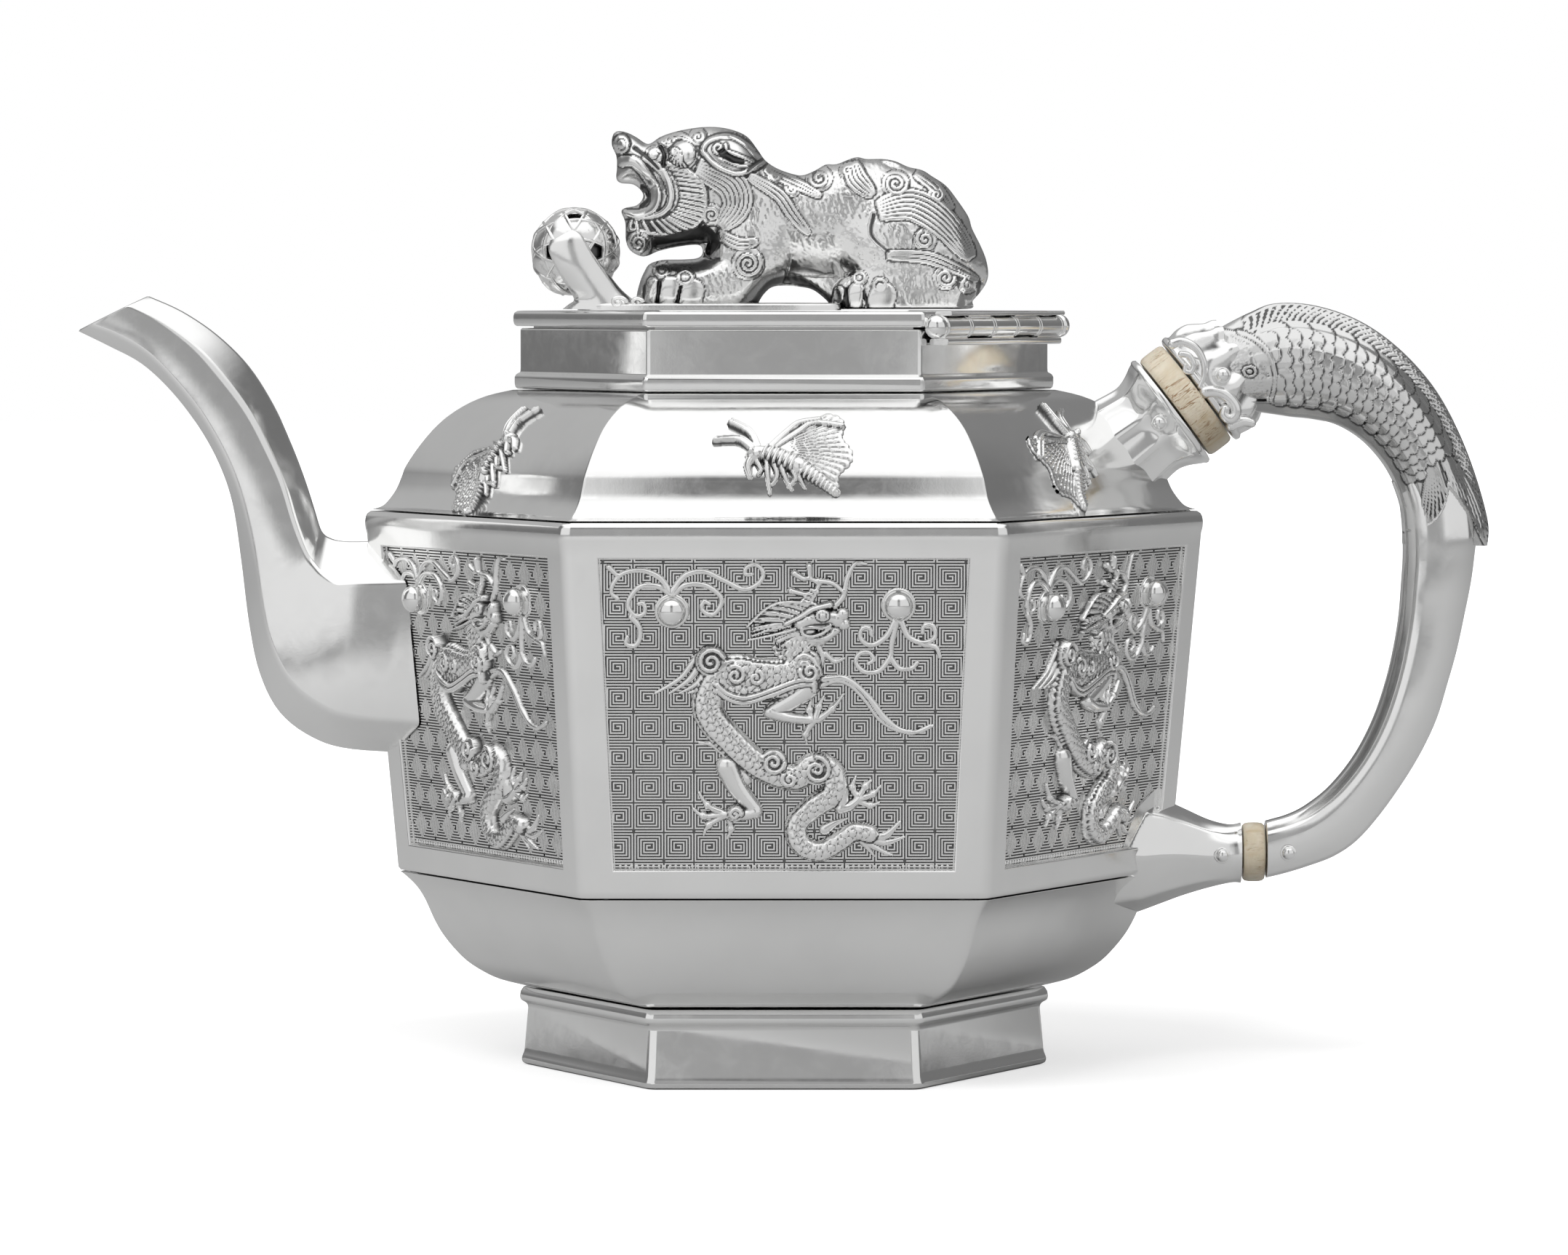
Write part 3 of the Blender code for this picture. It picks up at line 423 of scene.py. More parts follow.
def hex_ring(radius, z, corner, breaks=(), steps=5):
    """Points round a hexagon with rounded corners; breaks are extra places across each flat."""
    half_flat = radius / 2 - corner * math.tan(HALF_CORNER)
    ring = []
    for face in range(SIDES):
        angle = face_angle(face)
        outwards = direction(angle)
        across = UP.cross(outwards)
        for place in (-half_flat, *breaks, half_flat):
            ring.append(outwards * radius * FLAT + across * place + UP * z)
        centre = direction(angle + HALF_CORNER) * (radius - corner / FLAT)
        for step in range(1, steps):
            turn = angle + 2 * HALF_CORNER * step / steps
            ring.append(centre + direction(turn) * corner + UP * z)
    return ring


def hex_shell(node, profile, bevel, steps):
    """A closed profile of (corner radius, z, rounding) carried round the hexagon, for one CAD node."""
    rings = [hex_ring(radius, z, corner, steps=steps) for radius, z, corner in profile]
    vertices, faces = skin_rings(rings, closed=True)
    finish_mesh(f"{node}_finished", vertices, faces, POLISHED, "pot", (node,), 30, bevel)


def rounded_profile(points, corner):
    """The same corner rounding at every (corner radius, z) point."""
    return [(radius, z, corner) for radius, z in points]


def make_foot():
    """A moulded ring: a bead at the table, a wall that leans in, and a bead under the bowl."""
    outside = [
        (46.7, 0.0, 2.0), (47.6, 0.35, 2.2), (47.75, 1.1, 2.2), (47.5, 1.8, 2.2), (47.3, 2.2, 2.0), (47.15,
            3.0, 2.0),
        (46.5, 10.5, 2.0), (46.8, 11.1, 2.0), (47.9, 11.7, 2.2), (48.05, 12.4, 2.2), (47.9, 13.2,
            2.2), (47.3, 14.1, 2.0),
    ]
    inside = rounded_profile([(45.4, 14.1), (45.6, 0.0)], 1.5)
    hex_shell("foot_ring", outside + inside, bevel=0.25, steps=5)


BOWL_CURVE = [
    (47.6, 14.4), (51.6, 15.4), (54.6, 16.75), (57.6, 18.7), (60.0, 21.1), (62.1, 23.8), (63.6, 26.5), (65.1,
        29.85),
    (66.6, 32.2), (68.4, 34.0), (69.6, 34.95),
]
BOWL_FLOOR = 16.2
BOWL_INSIDE = [
    (67.9, 34.9), (64.7, 32.6), (63.2, 29.9), (61.7, 26.9), (60.0, 24.5), (57.9, 22.1), (55.5, 20.0), (52.6,
        18.2),
    (49.3, 17.0), (45.6, BOWL_FLOOR),
]


def make_bowl():
    """An open bowl whose first and last rings close its underside and its floor."""
    profile = rounded_profile(smooth_curve(BOWL_CURVE, 3), 2.2) + rounded_profile(BOWL_INSIDE, 1.5)
    rings = [hex_ring(*point) for point in profile]
    vertices, faces = skin_rings(rings)
    finish_mesh("bowl_finished", vertices, faces, POLISHED, "pot", ("bowl",), 24, 0.2)


def band_apothem(z):
    share = (z - BAND_Z_LOW) / (BAND_Z_HIGH - BAND_Z_LOW)
    return FLAT * (BAND_RADIUS_LOW + share * (BAND_RADIUS_HIGH - BAND_RADIUS_LOW))


BAND_LEAN = math.atan2(band_apothem(PANEL_HIGH) - band_apothem(PANEL_LOW), PANEL_HIGH - PANEL_LOW)


def panel_frame(face):
    """X across the face to the right seen from outside, Y up the slope, Z out of the face."""
    middle = (PANEL_LOW + PANEL_HIGH) / 2
    outwards = direction(face_angle(face))
    across = UP.cross(outwards)
    normal = outwards * math.cos(BAND_LEAN) - UP * math.sin(BAND_LEAN)
    turned_axes = Matrix((across, normal.cross(across), normal)).transposed().to_4x4()
    return Matrix.Translation(outwards * band_apothem(middle) + UP * middle) @ turned_axes


def panel_outline(inset):
    """The recess's four corners in the panel frame, drawn in by inset."""
    half_height = (PANEL_HIGH - PANEL_LOW) / 2 / math.cos(BAND_LEAN) - inset
    low = PANEL_WIDTH_LOW / 2 - inset
    high = PANEL_WIDTH_HIGH / 2 - inset
    return [(-low, -half_height), (low, -half_height), (high, half_height), (-high, half_height)]


BAND_OUTSIDE = [
    (69.5, 35.25, 2.2), (69.95, 35.7, 2.5), (70.05, 36.4, 2.6), (70.35, PANEL_LOW, 2.6), (75.33, PANEL_HIGH,
        2.6),
    (75.5, 96.0, 2.6), (75.75, 96.9, 2.6), (75.85, 98.0, 2.6), (75.7, 98.9, 2.6), (75.4, 99.5, 2.5), (74.8,
        99.9, 2.4),
]
# The rim of each opening: how far it is drawn in and how deep it lies.
RIM_STEPS = ((0.0, 0.0), (0.12, -0.03), (0.24, -0.12), (0.33, -0.27), (0.36, -0.45), (0.40,
             GROUND_DEPTH - 0.1))


def recess_half_width(z):
    share = (z - PANEL_LOW) / (PANEL_HIGH - PANEL_LOW)
    return (PANEL_WIDTH_LOW + share * (PANEL_WIDTH_HIGH - PANEL_WIDTH_LOW)) / 2


def make_band():
    """The band's six frames in one piece, each round a recess with a softly turned edge."""
    inner_low = (band_apothem(BAND_Z_LOW) - BAND_WALL) / FLAT
    inner_high = (band_apothem(BAND_Z_HIGH) - BAND_WALL) / FLAT
    inside = [(71.9, 99.9), (inner_high, BAND_Z_HIGH), (inner_low, BAND_Z_LOW), (inner_low, 35.25)]
    profile = BAND_OUTSIDE + rounded_profile(inside, 1.5)
    rings = []
    for radius, z, corner in profile:
        reach = recess_half_width(min(max(z, PANEL_LOW), PANEL_HIGH))
        rings.append(hex_ring(radius, z, corner, (-reach, reach)))
    vertices, faces = skin_rings(rings, closed=True)
    count = len(rings[0])
    per_face = count // SIDES
    low_row = next(index for index, point in enumerate(profile) if point[1] == PANEL_LOW)
    openings = set()
    for face in range(SIDES):
        start = low_row * count + face * per_face + 1
        openings.add((start, start + 1, start + 1 + count, start + count))
    faces = [item for item in faces if tuple(item) not in openings]
    rims = []
    for face in range(SIDES):
        place = panel_frame(face)
        loops = [[place @ Vector((x, y, depth)) for x, y in panel_outline(inset)] for inset,
                 depth in RIM_STEPS]
        rims.append(skin_rings(loops, capped=False))
    vertices, faces = join_parts((vertices, faces), *rims)
    mesh = bpy.data.meshes.new("panel_band_finished")
    mesh.from_pydata([tuple(MM * value for value in point) for point in vertices], [], faces)
    bm = bmesh.new()
    bm.from_mesh(mesh)
    bmesh.ops.remove_doubles(bm, verts=bm.verts, dist=0.02 * MM)
    bmesh.ops.recalc_face_normals(bm, faces=bm.faces)
    bm.to_mesh(mesh)
    bm.free()
    piece = finish_piece("panel_band_finished", mesh, POLISHED, "pot", ("panel_band",), 35)
    keep_flats(piece)


def keep_flats(piece):
    """Shade each flat as a flat one and leave the bend of the light to its rounded edges."""
    weight = piece.modifiers.new("flat_faces", "WEIGHTED_NORMAL")
    weight.keep_sharp = True


SHOULDER_CURVE = [
    (74.3, 100.2), (72.9, 100.6), (71.9, 101.2), (70.7, 102.6), (69.7, 104.2), (68.8, 106.4), (68.1, 108.1),
    (65.5, 111.9), (62.1, 115.7), (57.9, 118.7), (53.6, 120.6), (48.9, 121.7),
]


SHOULDER_INSIDE = [
    (45.8, 121.6), (45.8, 120.5), (53.1, 119.2), (57.2, 117.4), (61.1, 114.7), (64.3, 111.2), (66.8, 107.5),
    (67.6, 105.9), (68.4, 103.9), (69.3, 102.2), (70.2, 101.0), (71.5, 100.2),
]


def make_shoulder():
    profile = rounded_profile(smooth_curve(SHOULDER_CURVE, 3), 0.7) + rounded_profile(SHOULDER_INSIDE, 0.7)
    hex_shell("shoulder", profile, bevel=0.15, steps=3)


def make_neck():
    """A plain upright collar on a small moulding."""
    profile = [
        (48.0, 121.9, 0.9), (48.45, 122.2, 1.0), (48.6, 122.9, 1.0), (48.6, 124.0, 1.0), (48.3, 124.5, 1.0),
        (47.55, 124.9, 0.9), (47.5, 125.6, 0.9), (47.5, 132.5, 0.9), (47.2, 132.8, 0.8), (45.9, 132.8, 0.7),
        (45.7, 132.5, 0.7), (45.7, 122.0, 0.7),
    ]
    hex_shell("neck_collar", profile, bevel=0.12, steps=4)


def make_lid_plate():
    """A flat plate with a rolled rim and a shallow step round the top."""
    top = LID_TOP
    rim = [
        (46.3, top - 1.3, 0.8), (46.3, 133.15, 0.8), (48.2, 133.15, 0.9), (48.65, 133.45, 1.0), (48.8, 134.1,
            1.0),
        (48.8, 134.9, 1.0), (48.65, 135.5, 1.0), (48.1, top - 0.05, 1.0), (47.2, top, 0.9), (46.2, top, 0.9),
        (45.9, top - 0.25, 0.8), (45.5, top - 0.3, 0.8), (30.0, top - 0.22, 0.8), (8.0, top - 0.1, 0.8),
    ]
    rings = [hex_ring(*point, steps=4) for point in rim]
    vertices, faces = skin_rings(rings)
    plate = finish_mesh("lid_plate_finished", vertices, faces, POLISHED, "lid", ("lid_plate",), 30,
                        0.12)
    keep_flats(plate)


# ---- spout ----

# Each station: the underside ridge, the lower and upper edges of the flat sides, the top ridge
# (each an x, z pair), and half the width between the flat sides.
SPOUT_STATIONS = [
    (-64.0, 56.0, -62.0, 62.0, -62.0, 87.6, -66.0, 95.0, 10.8),
    (-77.8, 56.7, -77.0, 63.1, -76.0, 87.4, -77.0, 94.7, 10.8),
    (-85.0, 58.8, -83.4, 65.4, -79.8, 87.2, -80.2, 94.9, 10.3),
    (-91.0, 63.4, -88.3, 69.4, -82.0, 88.4, -81.8, 95.4, 9.7),
    (-94.6, 70.5, -91.6, 75.6, -83.6, 90.0, -82.7, 96.0, 9.1),
    (-96.5, 79.5, -93.4, 83.0, -85.2, 92.4, -83.4, 97.2, 8.4),
    (-97.9, 91.0, -94.9, 92.5, -87.2, 97.6, -84.4, 100.6, 7.7),
    (-99.4, 101.2, -97.2, 102.0, -89.4, 104.8, -86.1, 105.9, 7.0),
    (-101.8, 108.4, -100.0, 109.2, -92.0, 110.6, -88.3, 111.8, 6.4),
    (-105.4, 115.0, -104.2, 116.6, -95.6, 117.4, -91.5, 119.0, 5.8),
    (-110.2, 121.3, -109.2, 123.0, -100.0, 123.3, -95.9, 126.0, 5.4),
    (-115.6, 126.3, -114.4, 128.2, -105.4, 129.4, -101.5, 131.6, 5.0),
    (-121.6, 129.5, -120.2, 131.6, -111.8, 134.2, -107.8, 135.9, 4.8),
    (-127.0, 132.1, -124.6, 133.2, -117.1, 136.9, -113.8, 138.6, 4.6),
]
SPOUT_WALL = 1.1
SPOUT_WALL_SLANT = 1.2
SPOUT_EDGE = 0.9
SPOUT_SINK = 1.0
SPOUT_ROOT_RINGS = 10
SPOUT_LIP = Vector((-0.12, 0, 0.14))


def pot_corner_radius(z):
    """The hexagon's corner radius at a height, for pieces that grow out of a corner."""
    outline = BOWL_CURVE + [(70.0, 36.0), (75.5, 96.0), (75.7, 98.9)] + SHOULDER_CURVE
    heights = [point[1] for point in outline]
    return float(np.interp(z, heights, [point[0] for point in outline]))


def inside_corner(y, z):
    """The x of a point just under the pot's surface, on either side of the -X corner."""
    return -pot_corner_radius(z) + abs(y) * math.tan(HALF_CORNER) + SPOUT_SINK


def spout_section(station, wall):
    """One rounded six-cornered section, as points (x, y, z)."""
    xs, zs, half = station[0:8:2], station[1:8:2], station[8]
    middle = Vector((sum(xs) / 4, 0, sum(zs) / 4))
    drawn = []
    for x, z in zip(xs, zs):
        point = Vector((x, 0, z))
        drawn.append(point + (middle - point).normalized() * wall * SPOUT_WALL_SLANT)
    under, low, high, top = drawn
    side = Vector((0, half - wall, 0))
    corners = [under, low + side, high + side, top, high - side, low - side]
    down_axis = (under - top).normalized()
    across = Vector((0, 1, 0))
    forward = across.cross(down_axis)
    flat = [((corner - middle).dot(across), (corner - middle).dot(down_axis)) for corner in corners]
    outline = rounded_polygon(flat, SPOUT_EDGE)
    depths = np.repeat([(corner - middle).dot(forward) for corner in corners], len(outline) // len(corners))
    return [middle + across * a + down_axis * b + forward * float(c) for (a, b), c in zip(outline, depths)]


def make_spout():
    """One tapering six-sided tube, open at the mouth, let into the pot's corner."""
    stations = smooth_curve(SPOUT_STATIONS, 5)
    outside = [spout_section(station, 0) for station in stations]
    inside = [spout_section(station, SPOUT_WALL) for station in stations[::-1]]
    lip = [[a.lerp(b, share) + SPOUT_LIP for a, b in zip(outside[-1], inside[0])] for share in (0.25, 0.75)]
    rings = outside + lip + inside
    for ring in (rings[0], rings[-1]):
        for point in ring:
            point.x = inside_corner(point.y, point.z)
    vertices, faces = skin_rings(rings, closed=True)
    for index in range(len(outside[0]) * SPOUT_ROOT_RINGS):
        x, y, z = vertices[index]
        vertices[index] = (min(x, inside_corner(y, z)), y, z)
    finish_mesh("spout_finished", vertices, faces, POLISHED, "pot",
                ("spout_front_half", "spout_back_half"), 48)
# ---- handle ----

UPPER_RING = Vector((72.2, 0, 119.8))
UPPER_SLOPE = math.radians(37)
UPPER_RING_RADIUS = 10.7
UPPER_RING_THICK = 5.0
LOWER_RING = Vector((84.65, 0, 38.4))
LOWER_RING_RADIUS = 5.3
LOWER_RING_THICK = 4.0


def upper_frame():
    return axis_frame(UPPER_RING, (math.cos(UPPER_SLOPE), 0, math.sin(UPPER_SLOPE)))


def lower_frame():
    return axis_frame(LOWER_RING, (1, 0, 0))


def make_insulator(name, place, radius, thick, node):
    half = thick / 2
    profile = [
        (3.0, -half - 2), (3.0, -half), (radius - 1.0, -half), (radius - 0.45, -half + 0.08), (radius - 0.12,
            -half + 0.45),
        (radius, -half + 1.1), (radius + 0.02, 0.0), (radius, half - 1.1), (radius - 0.12, half - 0.45),
        (radius - 0.45, half - 0.08), (radius - 1.0, half), (3.0, half), (3.0, half + 2),
    ]
    vertices, faces = turned(place, profile, 72)
    piece = finish_mesh(name, vertices, faces, IVORY, "pot", (node,), 35)
    layer = piece.data.attributes.new("lengthwise", "FLOAT_VECTOR", "POINT")
    back = place.inverted()
    for index, point in enumerate(vertices):
        own = back @ Vector(point)
        layer.data[index].vector = (own.x, own.y, own.z * 0.12)


def make_rivet(name, place, half_length, node):
    """A domed rivet head at each end of a pin, each in a thin washer."""
    dome = [(1.45, -0.15), (1.45, 0.08), (1.36, 0.2), (1.18, 0.22), (1.14, 0.32)]
    dome += dome_profile(1.14, 0.8, (20, 40, 60, 80), 0.32)
    profile = [(radius, -half_length - lift) for radius, lift in reversed(dome)]
    profile += [(radius, half_length + lift) for radius, lift in dome]
    along = axis_frame(Vector((place[0], 0, place[1])), (0, 1, 0), (1, 0, 0))
    vertices, faces = turned(along, profile, 24)
    finish_mesh(name, vertices, faces, POLISHED, "pot", (node,), 50)


SOCKET_FLUTES = 10
SOCKET_FLUTE_DEPTH = 0.095
SOCKET_PROFILE = [
    (13.4, -27.0), (11.9, -22.8), (10.7, -17.6), (9.9, -13.2), (9.4, -10.0), (9.3, -8.4), (9.6, -7.1), (10.1,
        -5.9),
    (10.7, -4.8), (11.05, -4.0),
]


def make_upper_socket():
    """A fluted trumpet from the pot's corner to the ring; the flutes are hollow with a crisp rib between them."""
    place = upper_frame()
    sides = SOCKET_FLUTES * 10
    curve = smooth_curve(SOCKET_PROFILE, 5)
    rings = []
    for radius, along in curve:
        fade = np.clip((-3.6 - along) / 6.0, 0, 1) ** 0.6
        ring = []
        for index in range(sides):
            angle = math.tau * (index + 0.5) / sides
            swing = abs(math.sin(angle * SOCKET_FLUTES / 2))
            reach = radius * (1 - SOCKET_FLUTE_DEPTH * fade * swing ** 0.95)
            ring.append(place @ Vector((reach * math.cos(angle), 0.93 * reach * math.sin(angle), along)))
        rings.append(ring)
    for radius, along in ((11.3, -3.75), (11.35, -3.3), (11.1, -2.9), (10.6, -2.8)):
        angles = [math.tau * (index + 0.5) / sides for index in range(sides)]
        rings.append([place @ Vector((radius * math.cos(a), 0.95 * radius * math.sin(a), along))
                      for a in angles])
    vertices, faces = skin_rings(rings)
    vertices = [sink_into_corner(Vector(point)) for point in vertices]
    finish_mesh("upper_socket_finished", vertices, faces, POLISHED, "pot", ("upper_socket",), 42)


# Above this height nothing is left of the shoulder to sit against.
SHOULDER_RIM = 121.4


def sink_into_corner(point, depth=1.2):
    """Stop a point that has run into the pot just under the pot's surface, on either side of the +X corner."""
    if point.z > SHOULDER_RIM:
        return tuple(point)
    surface = pot_corner_radius(point.z) - abs(point.y) * math.tan(HALF_CORNER) - depth
    return (max(point.x, surface), point.y, point.z)


COLLAR_PROFILE = [
    (9.8, 0.0), (10.9, 0.1), (11.25, 0.6), (11.2, 1.1), (10.8, 1.5), (10.9, 2.0), (11.1, 2.8), (10.9, 3.9),
    (10.3, 5.0), (9.6, 6.0), (9.0, 7.0), (8.7, 8.2), (8.2, 9.0),
]


def make_collar():
    """A shell-scrolled cap: lobes fan out from the ring and curl over the grip's root."""
    place = upper_frame()
    start = UPPER_RING_THICK / 2 + 0.3
    sides = 144
    rings = []
    for radius, along in smooth_curve(COLLAR_PROFILE, 3):
        lobed = np.clip((along - 1.6) / 2.5, 0, 1)
        ring = []
        for index in range(sides):
            angle = math.tau * index / sides
            lobe = math.cos(angle * 5) ** 2
            reach = radius * (1 - 0.07 * lobed * (1 - lobe))
            scallop = 1.3 * lobed * lobe
            own = (reach * math.cos(angle), 0.86 * reach * math.sin(angle), start + along + scallop)
            ring.append(place @ Vector(own))
        rings.append(ring)
    vertices, faces = join_parts(skin_rings(rings), *collar_scrolls())
    piece = finish_mesh("handle_collar_finished", vertices, faces, CHASED, "pot",
                        ("handle_collar",), 45)
    mark_cavities(piece)


def tube(path, radius_at, sides=8):
    """A round-ended tube along a path of Vectors; radius_at gives its radius at a share of its length."""
    rings = []
    last = len(path) - 1
    helper = Vector((0, 1, 0))
    for index, point in enumerate(path):
        forward = (path[min(index + 1, last)] - path[max(index - 1, 0)]).normalized()
        across = forward.cross(helper)
        if across.length < 0.2:
            across = forward.cross(UP)
        across.normalize()
        rise = across.cross(forward)
        radius = radius_at(index / last)
        rings.append([
            point + (across * math.cos(math.tau * i / sides) + rise * math.sin(math.tau * i / sides)) * radius
            for i in range(sides)])
    return skin_rings(rings)


# Stations along the handle: the outer edge, the inner edge (each an x, z pair) and half the width.
GRIP_STATIONS = [
    (76.0, 131.3, 83.0, 118.0, 7.4),
    (79.4, 133.4, 86.2, 117.6, 7.9),
    (83.8, 135.6, 89.0, 117.2, 8.3),
    (88.2, 137.2, 91.0, 116.9, 8.5),
    (95.1, 136.9, 94.8, 116.5, 8.8),
    (103.0, 134.3, 99.2, 115.5, 8.8),
    (110.0, 129.6, 103.2, 113.3, 8.6),
    (116.3, 122.9, 106.4, 110.3, 8.2),
    (120.8, 115.3, 108.9, 106.8, 7.6),
    (124.3, 106.7, 110.6, 102.8, 7.0),
    (126.7, 98.0, 111.4, 97.6, 6.6),
    (126.6, 93.6, 111.5, 93.9, 6.5),
]
ARM_STATIONS = [
    (124.6, 96.0, 111.5, 96.0, 6.1),
    (124.3, 91.5, 111.6, 91.5, 6.1),
    (123.7, 86.9, 111.3, 86.4, 6.1),
    (122.6, 81.3, 110.8, 80.3, 6.0),
    (121.2, 74.7, 109.7, 73.8, 6.0),
    (119.5, 68.6, 108.3, 68.2, 6.0),
    (117.7, 62.6, 106.4, 62.6, 5.9),
    (115.1, 56.9, 103.9, 57.4, 5.8),
    (111.8, 51.3, 101.1, 53.2, 5.7),
    (107.6, 45.3, 97.8, 49.5, 5.6),
    (103.4, 40.5, 94.6, 47.0, 5.5),
    (99.2, 37.6, 92.4, 45.7, 5.4),
    (94.5, 35.8, 90.2, 44.8, 5.3),
    (90.3, 34.5, 88.4, 44.3, 5.2),
    (86.95, 33.7, 86.95, 43.9, 5.2),
]
# Across the arm: how far from the inner edge to the outer, and the share of the half width there.
ARM_SECTION = [
    (0.0, 0.0), (0.0, 0.40), (0.015, 0.52), (0.05, 0.60), (0.13, 0.86), (0.17, 0.93), (0.23, 0.985), (0.34,
        1.0),
    (0.50, 1.0), (0.64, 0.985), (0.76, 0.93), (0.86, 0.82), (0.93, 0.64), (0.98, 0.38), (1.0, 0.0),
]


def section_ring(station, section):
    outer_x, outer_z, inner_x, inner_z, half = station
    inner = Vector((inner_x, 0, inner_z))
    across = Vector((outer_x, 0, outer_z)) - inner
    front = [inner + across * share + Vector((0, -half * width, 0)) for share, width in section]
    back = [inner + across * share + Vector((0, half * width, 0)) for share, width in reversed(section[1:-1])]
    return front + back


def make_arm():
    """The plain lower arm: a smooth rounded outer side and a crisp bevel along each inner edge."""
    stations = smooth_curve(ARM_UNDER_TAIL + ARM_STATIONS, 4)
    rings = [section_ring(station, ARM_SECTION) for station in stations]
    lip = [Vector((86.8, point.y * 0.9, 38.9 + (point.z - 38.9) * 0.9)) for point in rings[-1]]
    vertices, faces = skin_rings(rings + [lip])
    finish_mesh("handle_arm_finished", vertices, faces, POLISHED, "pot", ("handle_arm",), 38)


LOWER_SOCKET_STATIONS = [
    (58.0, 26.0, 52.0, 16.0),
    (62.0, 27.0, 50.5, 13.6),
    (64.0, 27.4, 49.6, 12.4),
    (68.0, 28.9, 48.3, 10.0),
    (72.0, 30.4, 46.5, 7.8),
    (76.5, 31.8, 44.4, 6.2),
    (79.5, 32.6, 43.5, 5.5),
    (81.2, 32.9, 43.4, 5.3),
    (82.35, 32.8, 43.7, 5.4),
]


def make_lower_socket():
    """A tapering socket with eight shallow flutes that fade out towards the ring."""
    rings = []
    sides = 96
    for x, low, high, half in smooth_curve(LOWER_SOCKET_STATIONS, 5):
        middle, reach = (low + high) / 2, (high - low) / 2
        fade = np.clip((80.5 - x) / 5, 0, 1)
        ring = []
        for index in range(sides):
            angle = math.tau * (index + 0.5) / sides
            flute = 1 - 0.07 * fade * abs(math.sin(4 * angle)) ** 0.6
            ring.append(Vector((x, half * flute * math.cos(angle), middle + reach * flute * math.sin(angle))))
        rings.append(ring)
    vertices, faces = skin_rings(rings)
    vertices = [sink_into_corner(Vector(point)) for point in vertices]
    finish_mesh("lower_socket_finished", vertices, faces, POLISHED, "pot", ("lower_socket",), 42)


# ---- hinge ----

HINGE_NORMAL = direction(math.radians(-30))
HINGE_ALONG = direction(math.radians(60))
HINGE_REACH = 43.7
HINGE_Z = 133.2
HINGE_LENGTH = 43.0
KNUCKLES = 5
# One end of a knuckle: the bore's edge, the turned-over rim and the hollow behind it.
KNUCKLE_END = [(0.84, 0.0), (1.75, 0.0), (1.96, 0.06), (1.98, 0.2), (1.98, 0.55), (1.86, 0.75)]


def hinge_frame():
    """Z along the hinge line; X points out of the pot and Y down."""
    turned_axes = Matrix((HINGE_NORMAL, -UP, HINGE_ALONG)).transposed().to_4x4()
    return Matrix.Translation(HINGE_NORMAL * HINGE_REACH + UP * HINGE_Z) @ turned_axes


BAR_ROUNDING = 0.4


def bar(place, low, high):
    """A bar with rounded edges between two corners of its frame."""
    corners = [(low[0], low[1]), (high[0], low[1]), (high[0], high[1]), (low[0], high[1])]
    corners = rounded_polygon(corners, BAR_ROUNDING * min(high[0] - low[0], high[1] - low[1]), 4)
    return skin_rings([[place @ Vector((x, y, z)) for x, y in corners] for z in (low[2], high[2])])


def make_hinge_leaf(name, body, knuckles, plate, web, node):
    """A strip along the hinge with its rolled knuckles."""
    place = hinge_frame()
    half = HINGE_LENGTH / 2 - 0.3
    pitch = HINGE_LENGTH / KNUCKLES
    parts = [bar(place, (*plate[0], -half), (*plate[1], half))]
    for index in knuckles:
        start = -HINGE_LENGTH / 2 + pitch * index + 0.06
        end = start + pitch - 0.12
        low_end = [(radius, start + along) for radius, along in KNUCKLE_END]
        profile = low_end + [(radius, start + end - along) for radius, along in reversed(low_end)]
        parts.append(turned(place, profile, 40, closed=True))
        parts.append(bar(place, (*web[0], start + 0.2), (*web[1], end - 0.2)))
    vertices, faces = join_parts(*parts)
    finish_mesh(name, vertices, faces, POLISHED, body, (node,), 35, 0.12)


def make_hinge_pin():
    """The pin's two ball ends, and its shank between them."""
    half = HINGE_LENGTH / 2
    ball = [(0.3, 3.1), (1.0, 2.95), (1.6, 2.5), (2.02, 1.8), (2.1, 1.1), (1.85, 0.5), (1.2, 0.15)]
    profile = [(radius, -half - along) for radius, along in ball]
    profile += [(radius, half + along) for radius, along in reversed(ball)]
    vertices, faces = turned(hinge_frame(), profile, 32)
    finish_mesh("hinge_pin_finished", vertices, faces, POLISHED, "pot", ("hinge_pin",), 50)
# ---- reliefs: height fields drawn with strokes ----


